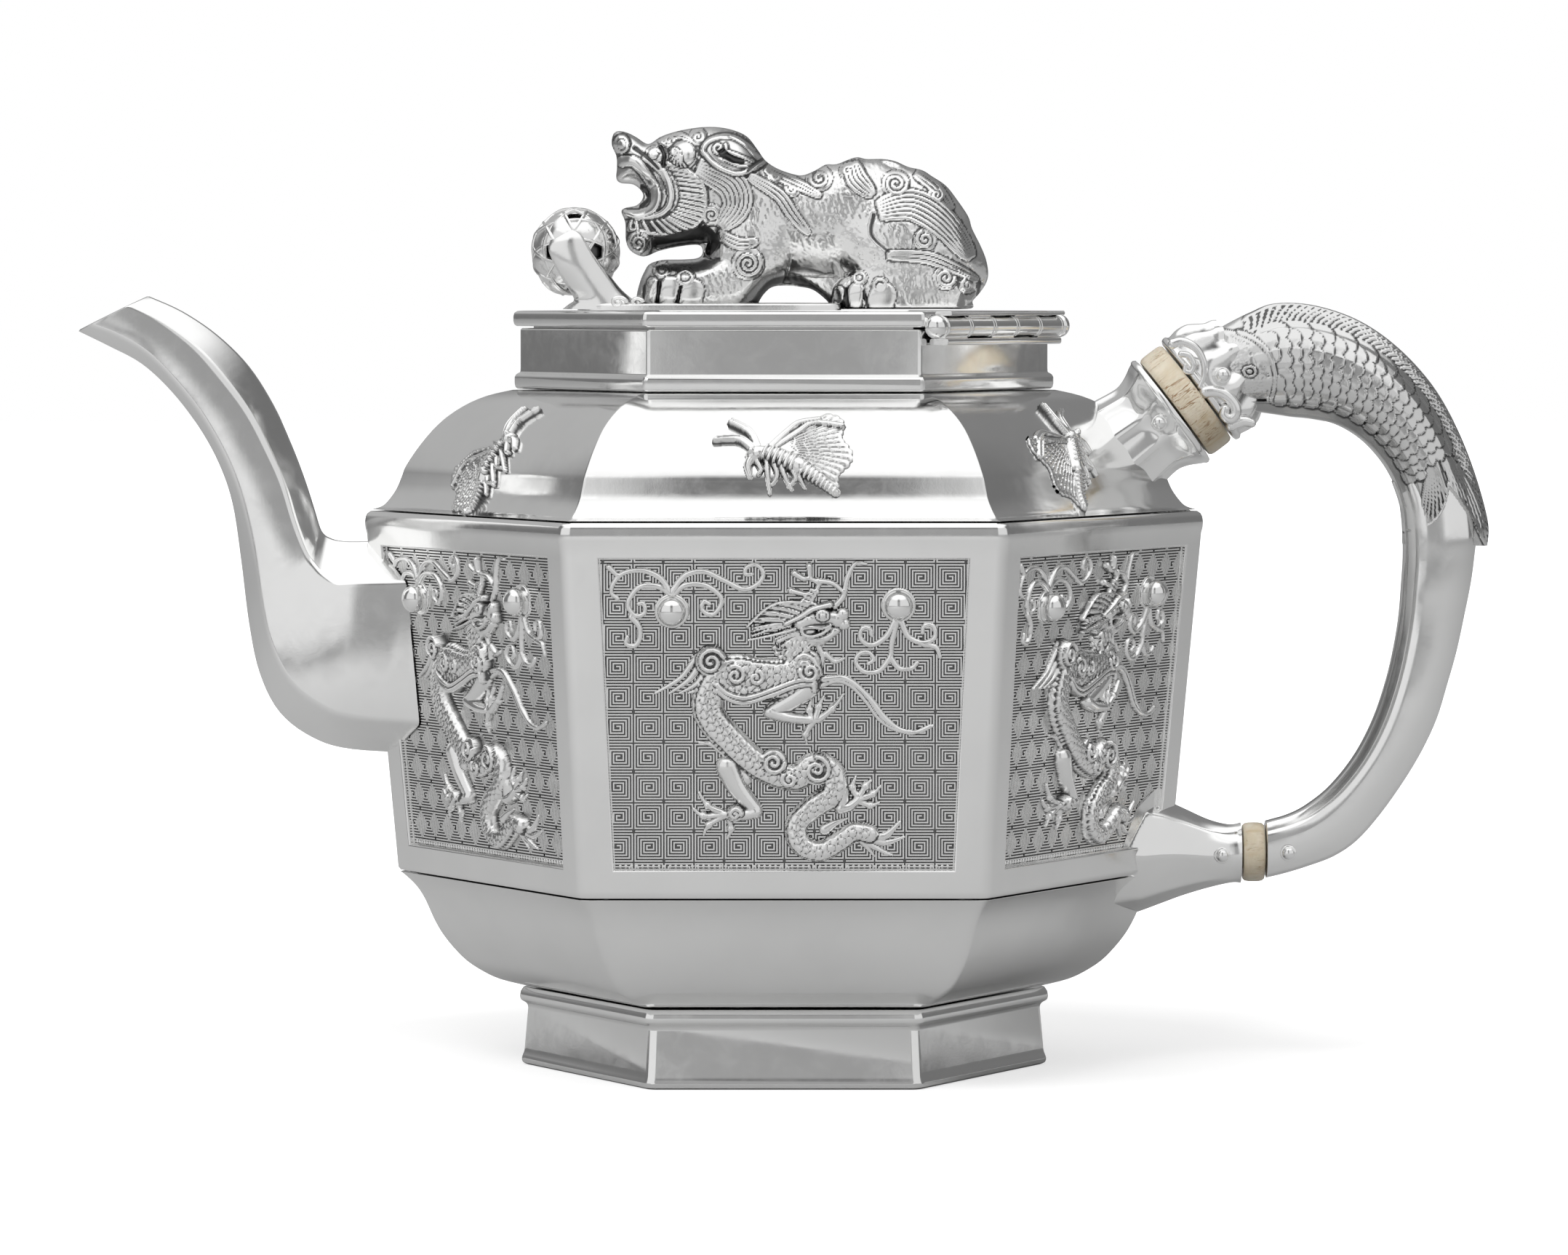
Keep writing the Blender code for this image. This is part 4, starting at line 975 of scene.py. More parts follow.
class Relief:
    """A height field in millimetres on a flat grid; strokes raise it and never lower it."""

    def __init__(self, low, high, step):
        self.step = step
        self.xs = np.arange(low[0], high[0] + step / 2, step)
        self.ys = np.arange(low[1], high[1] + step / 2, step)
        self.x, self.y = np.meshgrid(self.xs, self.ys)
        self.height = np.zeros_like(self.x)

    def window(self, path, margin):
        """The part of the grid within margin of a path."""
        low, high = path.min(axis=0) - margin, path.max(axis=0) + margin
        columns = slice(*np.searchsorted(self.xs, (low[0], high[0])))
        rows = slice(*np.searchsorted(self.ys, (low[1], high[1])))
        return rows, columns

    def near(self, path, margin):
        """Over a path's window: distance from the path, side of it, and share of the way along it."""
        window = self.window(path, margin)
        x, y = self.x[window], self.y[window]
        best = np.full(x.shape, 1e9)
        side = np.zeros(x.shape)
        along = np.zeros(x.shape)
        lengths = np.linalg.norm(np.diff(path, axis=0), axis=1)
        reached = np.concatenate(([0], np.cumsum(lengths)))
        for start, end, length, before in zip(path, path[1:], lengths, reached):
            run = (end - start) / max(length, 1e-9)
            dx, dy = x - start[0], y - start[1]
            share = np.clip(dx * run[0] + dy * run[1], 0, length)
            away = np.hypot(dx - share * run[0], dy - share * run[1])
            closer = away < best
            best[closer] = away[closer]
            side[closer] = (dy * run[0] - dx * run[1])[closer]
            along[closer] = (before + share)[closer]
        return window, best, np.sign(side), along, reached[-1]

    def raise_to(self, window, height):
        self.height[window] = np.maximum(self.height[window], height)

    def stroke(self, points, start, end, height, flat=0.5, base=0.0, steps=6):
        """A rounded ridge along a smooth curve; its half width runs from start to end."""
        path = smooth_curve(points, steps)
        window, away, _, along, length = self.near(path, max(start, end))
        reach = start + (end - start) * along / max(length, 1e-9)
        inside = away < reach
        crown = np.where(inside, (1 - np.clip(away / reach, 0, 1) ** 2) ** flat, 0)
        ridge = crown * height * (reach / max(start, end)) ** 0.6
        self.raise_to(window, np.where(inside, ridge + base, 0))

    def dome(self, centre, radius, height, flat=0.5, base=0.0):
        path = np.array([centre, centre], float)
        window = self.window(path, radius)
        away = np.hypot(self.x[window] - centre[0], self.y[window] - centre[1]) / radius
        self.raise_to(window, np.where(away < 1, base + height * np.clip(1 - away ** 2, 0, 1) ** flat, 0))

    def curl(self, centre, radius, turns, angle, width, height, base=0.0, way=1):
        """A spiral ridge that winds in to its centre."""
        count = max(12, int(turns * 14))
        shares = np.linspace(0, 1, count)
        angles = angle + way * shares * turns * math.tau
        reaches = radius * (1 - 0.86 * shares)
        path = np.stack((centre[0] + reaches * np.cos(angles), centre[1] + reaches * np.sin(angles)), axis=1)
        self.stroke(path, width, width * 0.8, height, base=base, steps=1)

    def blurred(self, passes):
        values = self.height.copy()
        for _ in range(passes):
            padded = np.pad(values, 1, mode="edge")
            values = (padded[:-2, 1:-1] + padded[2:, 1:-1] + padded[1:-1, :-2] + padded[1:-1,
                      2:] + 4 * values) / 8
        return values

    def cavity(self, depth=0.16, passes=5):
        """How far each point lies under its surroundings, from 0 to 1."""
        return np.clip((self.blurred(passes) - self.height) / depth, 0, 1)

    def skin(self, keep, place):
        """Vertices and quads of the kept cells; place(x, y, height) gives arrays of points."""
        kept = keep[:-1, :-1] | keep[1:, :-1] | keep[:-1, 1:] | keep[1:, 1:]
        used, quads = kept_quads(kept)
        points = place(self.x.ravel()[used], self.y.ravel()[used], self.height.ravel()[used])
        return points, quads, used


def kept_quads(kept):
    """The grid points that the kept cells use, and the cells as quads between those points."""
    rows, columns = kept.shape
    index = np.arange((rows + 1) * (columns + 1)).reshape(rows + 1, columns + 1)
    corners = (index[:-1, :-1], index[:-1, 1:], index[1:, 1:], index[1:, :-1])
    used, packed = np.unique(np.stack([corner[kept] for corner in corners], axis=1), return_inverse=True)
    return used, packed.reshape(-1, 4)


def array_piece(name, points, quads, material, body, replaces, smooth=180):
    """A piece from arrays of points in millimetres and quads."""
    mesh = bpy.data.meshes.new(name)
    mesh.vertices.add(len(points))
    mesh.vertices.foreach_set("co", (np.asarray(points, float) * MM).ravel())
    mesh.loops.add(len(quads) * 4)
    mesh.loops.foreach_set("vertex_index", np.asarray(quads, np.int32).ravel())
    mesh.polygons.add(len(quads))
    mesh.polygons.foreach_set("loop_start", np.arange(0, len(quads) * 4, 4, dtype=np.int32))
    mesh.update(calc_edges=True)
    mesh.validate()
    return finish_piece(name, mesh, material, body, replaces, smooth)


# ---- dragon panels ----

# Everything here is in the panel frame: X to the right, Y up the slope, both from the panel's middle.
FRET_PITCH = 5.17
FRET_LINE = 0.5
FRET_ORIGIN = (0.05, 0.21)
FRET_HEIGHT = 0.26
RELIEF_LOW = (-30.6, -25.6)
RELIEF_HIGH = (30.6, 27.0)
RELIEF_STEP = 0.2
PEARLS = ((-19.2, 17.9), (19.6, 18.9))
PEARL_RADIUS = 2.45

BODY_LINE = [
    (3.5, 8.4), (2.2, 7.2), (-0.1, 6.7), (-4.3, 6.9), (-8.5, 7.6), (-11.4, 5.9), (-13.1, 2.1), (-12.3, -0.8),
    (-9.7, -3.8), (-6.4, -7.1), (-2.6, -9.7), (2.0, -10.9), (5.2, -8.6), (8.3, -10.1), (8.3, -13.6), (5.0,
        -16.0),
    (2.2, -19.0), (2.9, -22.4), (6.2, -23.6), (9.6, -21.9), (12.1, -20.2), (14.6, -20.6),
]
CHEST_LINE = [(-9.8, 4.6), (-5.6, 4.2), (-1.4, 4.6), (2.2, 5.4), (4.2, 6.6)]
TENDRILS = [
    [(-19.6, 21.0), (-21.1, 23.5), (-24.0, 24.8), (-27.4, 24.4), (-29.1, 22.7), (-29.5, 21.0), (-28.4, 20.0)],
    [(-29.9, 25.4), (-28.2, 23.7)],
    [(-19.4, 20.8), (-21.5, 22.1), (-24.5, 22.1), (-26.3, 20.2), (-26.6, 18.5), (-25.3, 17.0), (-23.8, 17.6),
     (-24.0, 19.1), (-24.9, 19.1)],
    [(-26.1, 16.8), (-24.7, 15.1), (-24.7, 13.0), (-25.7, 11.8), (-27.0, 12.2), (-26.8, 13.4)],
    [(-19.2, 21.0), (-16.9, 24.0), (-13.5, 24.6), (-10.2, 23.1), (-6.8, 21.6), (-4.3, 22.7), (-3.5, 24.4),
     (-4.7, 25.8),
     (-6.4, 25.4), (-6.6, 24.2), (-5.5, 24.2)],
    [(-18.8, 20.8), (-16.9, 22.3), (-13.5, 22.3), (-11.0, 20.6), (-10.8, 18.9), (-12.3, 17.2), (-14.0, 18.1),
     (-13.7, 19.5), (-12.7, 19.1)],
    [(19.0, 16.2), (17.4, 13.4), (15.0, 12.0), (13.2, 13.0), (13.2, 14.7), (14.6, 14.9), (15.0, 13.7)],
    [(19.3, 16.2), (18.4, 12.2), (18.2, 10.1), (16.3, 7.6), (13.8, 7.4), (12.3, 9.0), (12.9, 10.5), (14.6,
     10.7),
     (15.3, 9.5), (14.4, 8.8)],
    [(18.2, 9.9), (19.7, 8.0), (21.8, 8.0), (22.8, 9.0)],
    [(20.1, 16.0), (21.3, 13.4), (23.9, 12.4), (25.8, 13.4), (25.5, 15.3), (23.9, 15.3), (23.7, 14.1)],
    [(23.9, 12.2), (26.0, 11.6), (26.7, 9.9)],
]
ANTLERS = [
    [(4.3, 19.1), (5.4, 21.2), (6.2, 22.9)], [(1.2, 21.4), (3.7, 20.8), (5.2, 20.9)],
    [(1.8, 24.4), (3.3, 23.5), (4.5, 23.5), (6.0, 22.5)], [(4.3, 25.6), (4.5, 23.5)], [(5.8, 23.1), (8.3,
        22.7), (10.0, 21.2)],
]
WHISKERS = [
    [(8.7, 18.7), (10.2, 20.6), (10.8, 23.5), (12.1, 26.0), (14.0, 26.0)],
    [(6.6, 13.4), (5.8, 12.2), (6.6, 9.7), (5.4, 6.7), (3.7, 7.1), (3.3, 8.4), (4.5, 8.8)],
    [(7.1, 10.5), (8.7, 9.2), (10.2, 9.7)],
    [(6.6, 6.1), (10.8, 6.1), (14.6, 2.9), (17.6, -0.8), (21.3, -3.2), (25.1, -1.9)],
]
# Round bosses of the head: place, radius, height and the level that they stand on.
DRAGON_BOSSES = [
    ((6.6, 17.3), 0.7, 0.9, 2.2), ((10.0, 17.4), 1.15, 1.2, 1.0), ((10.3, 15.7), 1.1, 1.2, 0.9),
    ((9.2, 16.5), 1.3, 0.9, 1.2), ((8.6, 14.5), 0.7, 0.7, 1.0), ((4.0, 16.4), 0.8, 0.5, 1.8),
]
BEADS = [(-1.6, 11.6), (-1.2, 10.6), (-0.5, 9.9)]
LEGS = [
    ([(4.1, 4.6), (1.6, 2.7), (-2.2, 0.6)], 2.0, 1.15), ([(-2.4, 0.5), (0.8, -0.5), (4.4, -0.8)], 1.3, 1.0),
    ([(-9.7, -9.0), (-8.0, -12.6), (-5.0, -16.4)], 2.1, 1.2), ([(-4.9, -16.8), (-7.2, -17.3), (-10.2,
        -17.2)], 1.3, 1.0),
    ([(8.0, -11.0), (9.8, -13.4), (9.9, -16.0)], 1.7, 1.0), ([(9.7, -16.2), (11.3, -15.8), (12.9, -14.5)],
        1.1, 0.9),
]
TOES = [
    [(5.0, -1.1), (4.3, 0.8), (4.7, 2.7)], [(5.4, -0.9), (5.9, 1.4), (6.8, 3.2)], [(5.8, -0.9), (8.2, 1.0),
        (10.2, 3.6)],
    [(4.7, -1.5), (3.7, -3.4), (3.9, -4.8)],
    [(-10.4, -17.0), (-13.1, -15.7), (-14.6, -13.4)], [(-10.4, -17.2), (-13.8, -17.5), (-15.6, -16.2)],
    [(-10.2, -17.4), (-12.9, -19.1), (-13.8, -20.8)], [(-9.5, -17.6), (-9.1, -19.7), (-9.7, -21.4)],
    [(12.7, -14.3), (11.7, -12.6), (12.3, -10.7)], [(12.9, -14.3), (13.9, -12.4), (14.9, -11.4)],
    [(13.2, -14.5), (15.2, -13.7), (16.5, -12.4)], [(12.9, -14.9), (14.8, -15.7), (16.3, -15.2)],
]
# Smooth tapering strands: the points, then the half widths at the start and the end.
PLUMES = [
    ([(-11.7, 11.4), (-14.0, 11.0), (-15.7, 8.9), (-17.9, 6.2), (-22.0, 3.7)], 0.75, 0.28),
    ([(-14.4, 8.6), (-16.2, 6.1), (-19.6, 3.7)], 0.8, 0.25), ([(-13.6, 7.2), (-15.0, 5.3), (-17.9, 3.7)],
        0.75, 0.22),
    ([(-12.8, 6.2), (-14.1, 4.7), (-16.4, 3.7)], 0.7, 0.22),
    ([(-14.6, -4.8), (-11.3, -5.5), (-8.5, -8.2), (-6.8, -11.2)], 0.22, 1.35),
    ([(-12.4, -5.4), (-9.6, -7.6), (-8.0, -10.4)], 0.2, 0.7),
    ([(7.0, -19.9), (8.6, -18.9), (10.8, -18.0)], 1.1, 0.25),
    ([(13.6, -20.6), (17.0, -21.2), (19.9, -18.6)], 1.2, 0.3), ([(14.0, -21.2), (17.4, -22.2), (20.6,
        -21.2)], 1.0, 0.25),
    ([(13.8, -21.8), (16.4, -23.4), (18.6, -24.4)], 0.9, 0.22), ([(13.4, -21.9), (14.8, -23.6), (15.6,
        -24.6)], 0.7, 0.2),
]
CURLS = [
    ((-12.5, 9.3), 2.3, 1.7, 0.4, 1), ((-8.3, 7.0), 1.7, 1.4, 2.0, -1), ((-4.8, 6.6), 1.3, 1.2, 1.0, -1),
    ((4.4, 7.6), 1.7, 1.4, 3.0, 1), ((-1.8, -8.1), 1.9, 1.5, 0.0, -1), ((0.9, -11.0), 1.3, 1.3, 2.5, 1),
    ((5.6, -9.4), 2.4, 1.6, 1.6, -1), ((-8.4, -17.0), 1.1, 1.3, 0.0, 1),
]


SCALE_PITCH = (1.12, 1.42)


def overlapping_scales(along, aside):
    """Height of rounded scales laid like tiles, each rising to a free edge further along."""
    best = np.zeros(along.shape)
    first = np.floor(along / SCALE_PITCH[0])
    for step in (-1, 0, 1, 2):
        column = first + step
        shift = 0.5 * (column % 2)
        lane = np.round(aside / SCALE_PITCH[1] - shift)
        for next_lane in (-1, 0, 1):
            du = (along - column * SCALE_PITCH[0]) / 1.3
            dv = (aside - (lane + next_lane + shift) * SCALE_PITCH[1]) / 0.82
            inside = np.abs(du) ** 2.2 + np.abs(dv) ** 2.2 < 1
            best = np.maximum(best, np.where(inside, 0.04 + 0.27 * (1 + du) + 0.12 * (1 - dv * dv), 0))
    return best


def scaled_body(relief, points, start, end, height):
    """A thick coil covered with overlapping scales, with a beaded belly strip along one side."""
    path = smooth_curve(points, 8)
    window, away, side, along, length = relief.near(path, start)
    reach = start + (end - start) * along / length
    across = np.clip(away / reach, 0, 1)
    coil = height * (1 - across ** 2) ** 0.42
    scale = overlapping_scales(along, side * away)
    fade = np.clip((1 - across) / 0.3, 0, 1)
    belly = (side < 0) & (across > 0.74)
    ribs = 0.12 * np.cos(along / 0.9 * math.tau)
    relief.raise_to(window, np.where(away < reach, 0.25 + coil + np.where(belly, ribs, scale * fade), 0))


def draw_dragon():
    relief = Relief(RELIEF_LOW, RELIEF_HIGH, RELIEF_STEP)
    for line in TENDRILS:
        relief.stroke(line, 0.62, 0.42, 0.85, base=0.15)
    for line in WHISKERS:
        relief.stroke(line, 0.66, 0.34, 0.95, base=0.2)
    for line, start, end in PLUMES:
        relief.stroke(line, start, end, 1.0, base=0.25)
    scaled_body(relief, BODY_LINE, 3.15, 1.75, 1.6)
    scaled_body(relief, CHEST_LINE, 1.9, 2.3, 1.3)
    for line, width, height in LEGS:
        relief.stroke(line, width, width * 0.7, height + 0.9, base=0.2)
    for line in TOES:
        relief.stroke(line, 0.75, 0.28, 1.25, base=0.2)
        relief.dome(line[1], 0.85, 1.35)
    for centre, radius, turns, angle, way in CURLS:
        relief.dome(centre, radius + 0.35, 0.7, 0.3, 1.5)
        relief.curl(centre, radius, turns, angle, 0.46, 0.85, 2.0, way)
    draw_dragon_head(relief)
    for shift in (0.42, -0.42):
        sash = [(-11.4, 4.9), (-9.4, 3.3), (-6.4, 2.7), (-2.0, 4.1), (2.0, 5.6), (4.8, 5.8), (5.2, 4.8)]
        relief.stroke([(x, y + shift) for x, y in sash], 0.5, 0.45, 0.85, base=1.9)
        whip = [(6.6, 5.5), (9.4, 6.2), (11.8, 5.2), (14.2, 2.6), (16.8, -0.9), (20.2, -2.8), (23.2, -2.9),
                (25.3, -1.9)]
        relief.stroke([(x + 0.5 * shift, y + shift * (26 - x) / 20) for x, y in whip], 0.5, 0.3, 0.85,
                      base=0.25)
    return relief


def draw_leaf(relief, root, tips, lift, widths=(0.3, 0.16)):
    """Fine strands that fan back from a line of roots to a line of tips, on a leaf drawn under them."""
    roots, ends = smooth_curve(root, 6), smooth_curve(tips, 6)
    count = 13
    for index in range(count):
        share = index / (count - 1)
        start = roots[int(share * (len(roots) - 1))]
        end = ends[int(share * (len(ends) - 1))]
        middle = (start + end) / 2 + np.array((0.0, 0.25))
        relief.stroke([start, middle, end], widths[0], widths[1], 0.5, base=lift)


# Ridges of the head: points, half width at the start and the end, height, and the level that it stands on.
DRAGON_HEAD = [
    ([(2.2, 8.6), (2.0, 10.2), (2.2, 12.2), (3.4, 14.0)], 2.7, 2.3, 1.5, 0.2),
    ([(6.2, 17.8), (2.6, 18.6), (-1.0, 18.4), (-4.4, 16.8), (-6.2, 15.2)], 1.5, 0.35, 1.2, 0.2),
    ([(3.8, 16.4), (0.2, 16.4), (-3.0, 15.4), (-5.4, 13.8)], 1.5, 0.3, 1.2, 0.2),
    ([(7.2, 18.9), (3.4, 19.4), (-0.4, 19.4), (-3.2, 18.2), (-6.4, 15.1)], 0.34, 0.22, 1.1, 0.6),
    ([(1.9, 14.9), (-1.2, 14.0), (-6.2, 12.9)], 0.4, 0.2, 1.3, 0.7),
    ([(6.4, 13.0), (3.6, 12.3), (0.9, 12.2), (-1.3, 12.9)], 1.1, 0.4, 1.2, 0.3),
    ([(3.0, 15.8), (5.2, 16.7), (7.4, 16.8), (9.2, 16.6)], 1.5, 1.35, 1.9, 0.25),
    ([(3.2, 13.6), (5.2, 13.0), (7.2, 13.3), (9.0, 14.6)], 0.8, 0.75, 1.5, 0.25),
    ([(3.0, 15.0), (3.3, 14.0), (4.6, 13.6), (6.6, 14.2), (7.9, 15.2)], 0.34, 0.3, 0.6, 1.5),
    ([(3.0, 15.0), (4.6, 15.2), (6.6, 15.1), (7.9, 15.6)], 0.34, 0.3, 0.6, 1.6),
    ([(0.2, 15.8), (2.9, 17.1), (4.8, 18.3), (7.8, 19.1)], 0.35, 0.55, 0.8, 1.7),
]


def draw_dragon_head(relief):
    """Neck, crest, beard, skull, jaws, brow, eye and nose; where ridges cross, the higher one shows."""
    for line, start, end, height, base in DRAGON_HEAD:
        relief.stroke(line, start, end, height, base=base)
    for row in range(5):
        for column in range(3):
            place = (0.7 + 1.35 * column + 0.5 * (row % 2), 8.9 + 0.85 * row)
            relief.dome(place, 0.62, 0.3, base=1.5)
    draw_leaf(relief, [(5.4, 18.4), (3.2, 17.4), (1.6, 16.2), (1.0, 15.4)], [(1.2, 19.5), (-2.0, 18.7),
              (-4.8, 16.6), (-5.6, 13.6)], 1.1)
    draw_leaf(relief, [(6.6, 13.4), (4.6, 13.0), (3.0, 13.5), (2.4, 14.4)], [(3.8, 11.2), (1.8, 11.0), (-0.2,
              11.7), (-1.6, 13.1)], 1.1)
    for line in ANTLERS:
        relief.stroke(line, 0.62, 0.42, 1.3, base=0.2)
        relief.dome(line[0], 0.7, 1.3, base=0.2)
    for row in range(4):
        relief.stroke([(3.2 + 0.45 * row, 19.8 + 0.6 * row), (4.4 + 0.45 * row, 19.4 + 0.6 * row)], 0.34,
                      0.34, 0.5, base=1.0)
    for place in BEADS:
        relief.dome(place, 0.62, 1.1)
    for place, radius, height, base in DRAGON_BOSSES:
        relief.dome(place, radius, height, base=base)
    ring = [(6.6 + 0.95 * math.cos(0.45 * step), 17.3 + 0.75 * math.sin(0.45 * step)) for step in range(15)]
    relief.stroke(ring, 0.26, 0.26, 0.5, base=2.3)


def square_spiral(side, pitch):
    """A line that winds in from the corner of a square centred on the origin."""
    place = np.array((-side / 2, -side / 2))
    points = [tuple(place)]
    headings = ((1, 0), (0, 1), (-1, 0), (0, -1))
    length, turn = side, 0
    while length > pitch * 0.9:
        place = place + np.array(headings[turn % 4]) * length
        points.append(tuple(place))
        turn += 1
        if turn >= 3 and turn % 2:
            length -= pitch
    return points


def fret_strip(points, half_width, ground, height):
    """A ridge with sloping sides along a square path."""
    path = np.array(points, float)
    vertices, faces = [], []
    last = len(path) - 1
    for index, point in enumerate(path):
        before = path[max(index - 1, 0)]
        after = path[min(index + 1, last)]
        into = (point - before) if index else (after - point)
        out = (after - point) if index < last else into
        into, out = into / np.linalg.norm(into), out / np.linalg.norm(out)
        normal_in, normal_out = np.array((-into[1], into[0])), np.array((-out[1], out[0]))
        mitre = normal_in + normal_out
        mitre = mitre / max(mitre.dot(normal_in), 0.3)
        for reach, level in ((half_width, ground - 0.05), (half_width * 0.66, height), (-half_width * 0.66,
                             height),
                             (-half_width, ground - 0.05)):
            place = point + mitre * reach
            vertices.append((place[0], place[1], level))
        if index:
            start = 4 * (index - 1)
            faces += [(start + side, start + side + 1, start + side + 5, start + side + 4)
                      for side in range(3)]
    return vertices, faces


def build_fret():
    """The sunk ground with its field of square spirals, cut to the recess's outline."""
    outline = panel_outline(0.2)
    corners = [(x, y, GROUND_DEPTH) for x, y in outline]
    back = [(x, y, GROUND_DEPTH - 0.5) for x, y in outline]
    plate = (back + corners, [(0, 1, 2, 3)[::-1], (4, 5, 6, 7)] + [(i, (i + 1) % 4, 4 + (i + 1) % 4, 4 + i)
        for i in range(4)])
    spiral = square_spiral(FRET_PITCH - FRET_LINE, FRET_LINE)
    tiles = []
    half_height = panel_outline(0)[2][1]
    for row in range(-6, 6):
        for column in range(-7, 7):
            middle = (FRET_ORIGIN[0] + (column + 0.5) * FRET_PITCH, FRET_ORIGIN[1] + (row + 0.5) * FRET_PITCH)
            if abs(middle[1]) > half_height + FRET_PITCH / 2:
                continue
            flip = 1 if (row + column) % 2 else -1
            moved = [(middle[0] + x * flip, middle[1] + y) for x, y in spiral]
            tiles.append(fret_strip(moved, 0.185, GROUND_DEPTH, GROUND_DEPTH + FRET_HEIGHT))
    strips = cut_to_outline(join_parts(*tiles), panel_outline(0.55))
    border = border_strip(panel_outline(0.42), 0.22, GROUND_DEPTH + 0.42)
    beads = beaded_row(panel_outline(0.9))
    vertices, faces = join_parts(plate, strips, border, beads)
    mesh = bpy.data.meshes.new("fret_field")
    mesh.from_pydata([tuple(MM * value for value in point) for point in vertices], [], faces)
    mesh.update()
    # Painted shade and sulphide: the ground darkens the lower it lies between the fret's ridges.
    heights = np.array([point[2] for point in vertices])
    write_attribute(mesh, "cavity",
                    np.clip((GROUND_DEPTH + FRET_HEIGHT * 0.7 - heights) / (FRET_HEIGHT * 0.7), 0, 1))
    return mesh


def cut_to_outline(part, outline):
    """Drop what lies outside a convex outline."""
    bm = bmesh.new()
    made = [bm.verts.new(point) for point in part[0]]
    for face in part[1]:
        bm.faces.new([made[index] for index in face])
    for index, (x, y) in enumerate(outline):
        next_x, next_y = outline[(index + 1) % len(outline)]
        outwards = Vector((next_y - y, x - next_x, 0))
        geometry = bm.verts[:] + bm.edges[:] + bm.faces[:]
        bmesh.ops.bisect_plane(bm, geom=geometry, plane_co=(x, y, 0), plane_no=outwards, clear_outer=True)
    bm.verts.index_update()
    result = [tuple(vert.co) for vert in bm.verts], [tuple(vert.index for vert in face.verts)
        for face in bm.faces]
    bm.free()
    return result


def border_strip(outline, half_width, height):
    """A low moulding that runs round the edge of the field."""
    loops = []
    for reach, level in ((-half_width, GROUND_DEPTH - 0.05), (-half_width * 0.5, height), (half_width * 0.5,
                         height),
                         (half_width, GROUND_DEPTH - 0.05)):
        shrink = [(x * (1 - reach / abs(outline[0][0])), y * (1 - reach / abs(outline[0][1]))) for x,
                  y in outline]
        loops.append([(x, y, level) for x, y in shrink])
    return skin_rings(loops, capped=False)


def beaded_row(outline):
    """Small beads along the foot of the field."""
    (left, y), (right, _) = outline[0], outline[1]
    count = int((right - left) / 0.95)
    beads = []
    for index in range(count):
        middle = Vector((left + (index + 0.5) * (right - left) / count, y, GROUND_DEPTH))
        profile = [(0.40 * math.cos(math.radians(lift)), 0.42 * math.sin(math.radians(lift)))
                   for lift in (-8, 25, 55, 85)]
        beads.append(turned(Matrix.Translation(middle), profile, 8))
    return join_parts(*beads)


def panel_pieces():
    """All six panels share two meshes, the fret field and the dragon; each pearl in its collet is made on its
    own.
    """
    fret = build_fret()
    relief = draw_dragon()

    def place(x, y, height):
        return np.stack((x, y, GROUND_DEPTH - 0.06 + height), axis=1)

    points, quads, used = relief.skin(relief.height > 0.04, place)
    # Painted shade and sulphide: the dragon darkens in its hollows and the closer it sinks to the ground, within
    # half a millimetre of it.
    low = np.clip(1 - relief.height / 0.5, 0, 1)
    hollow = np.maximum(relief.cavity(0.13, 5), low).ravel()[used]
    beast = None
    for face in range(SIDES):
        node = f"panel_{face + 1}"
        if beast is None:
            field = finish_piece(f"{node}_fret", fret, GROUND, "pot", (node,), 30)
            beast = array_piece(f"{node}_dragon", points, quads, CHASED, "pot", ())
            write_attribute(beast.data, "cavity", hollow)
        else:
            field = tie_piece(f"{node}_fret", fret, "pot", (node,))
            beast = tie_piece(f"{node}_dragon", beast.data, "pot", ())
        setting = panel_frame(face)
        setting.translation = setting.translation * MM
        field.matrix_world = setting
        beast.matrix_world = setting
        for side, (across, up) in zip("ab", PEARLS):
            pearl = panel_frame(face) @ Matrix.Translation((across, up, 0))
            make_pearl(f"{node}_pearl_{side}", pearl, f"pearl_{face + 1}_{side}")


def make_pearl(name, place, node):
    """A polished bead in a low beaded collet."""
    base = GROUND_DEPTH - 0.1
    collet = [(3.05, base), (3.05, base + 0.55), (2.9, base + 0.78), (2.7, base + 0.72), (2.6, base + 0.45)]
    bead = dome_profile(PEARL_RADIUS, 0.85 * PEARL_RADIUS, (-35, -20, -5, 10, 25, 40, 55, 68, 80, 87), 0.45)
    vertices, faces = turned(place, collet + bead, 40)
    finish_mesh(name, vertices, faces, POLISHED, "pot", (node,), 50)


# ---- moths on the shoulder ----

# In the casting's own frame, seen from outside: antennae at the left, wings above, legs and abdomen below.
MOTH_MIDDLE = (-2.7, 8.3)
MOTH_SETTLE_Z = 111.3
# For each face: 1, or -1 for the mirror-image casting; the turn in degrees; the shift across and up the
# facet.
MOTH_PLACES = (
    (1, 0, -0.5, 0), (-1, 34, 0.8, 0), (-1, 57, -1.8, -1.6),
) * 2


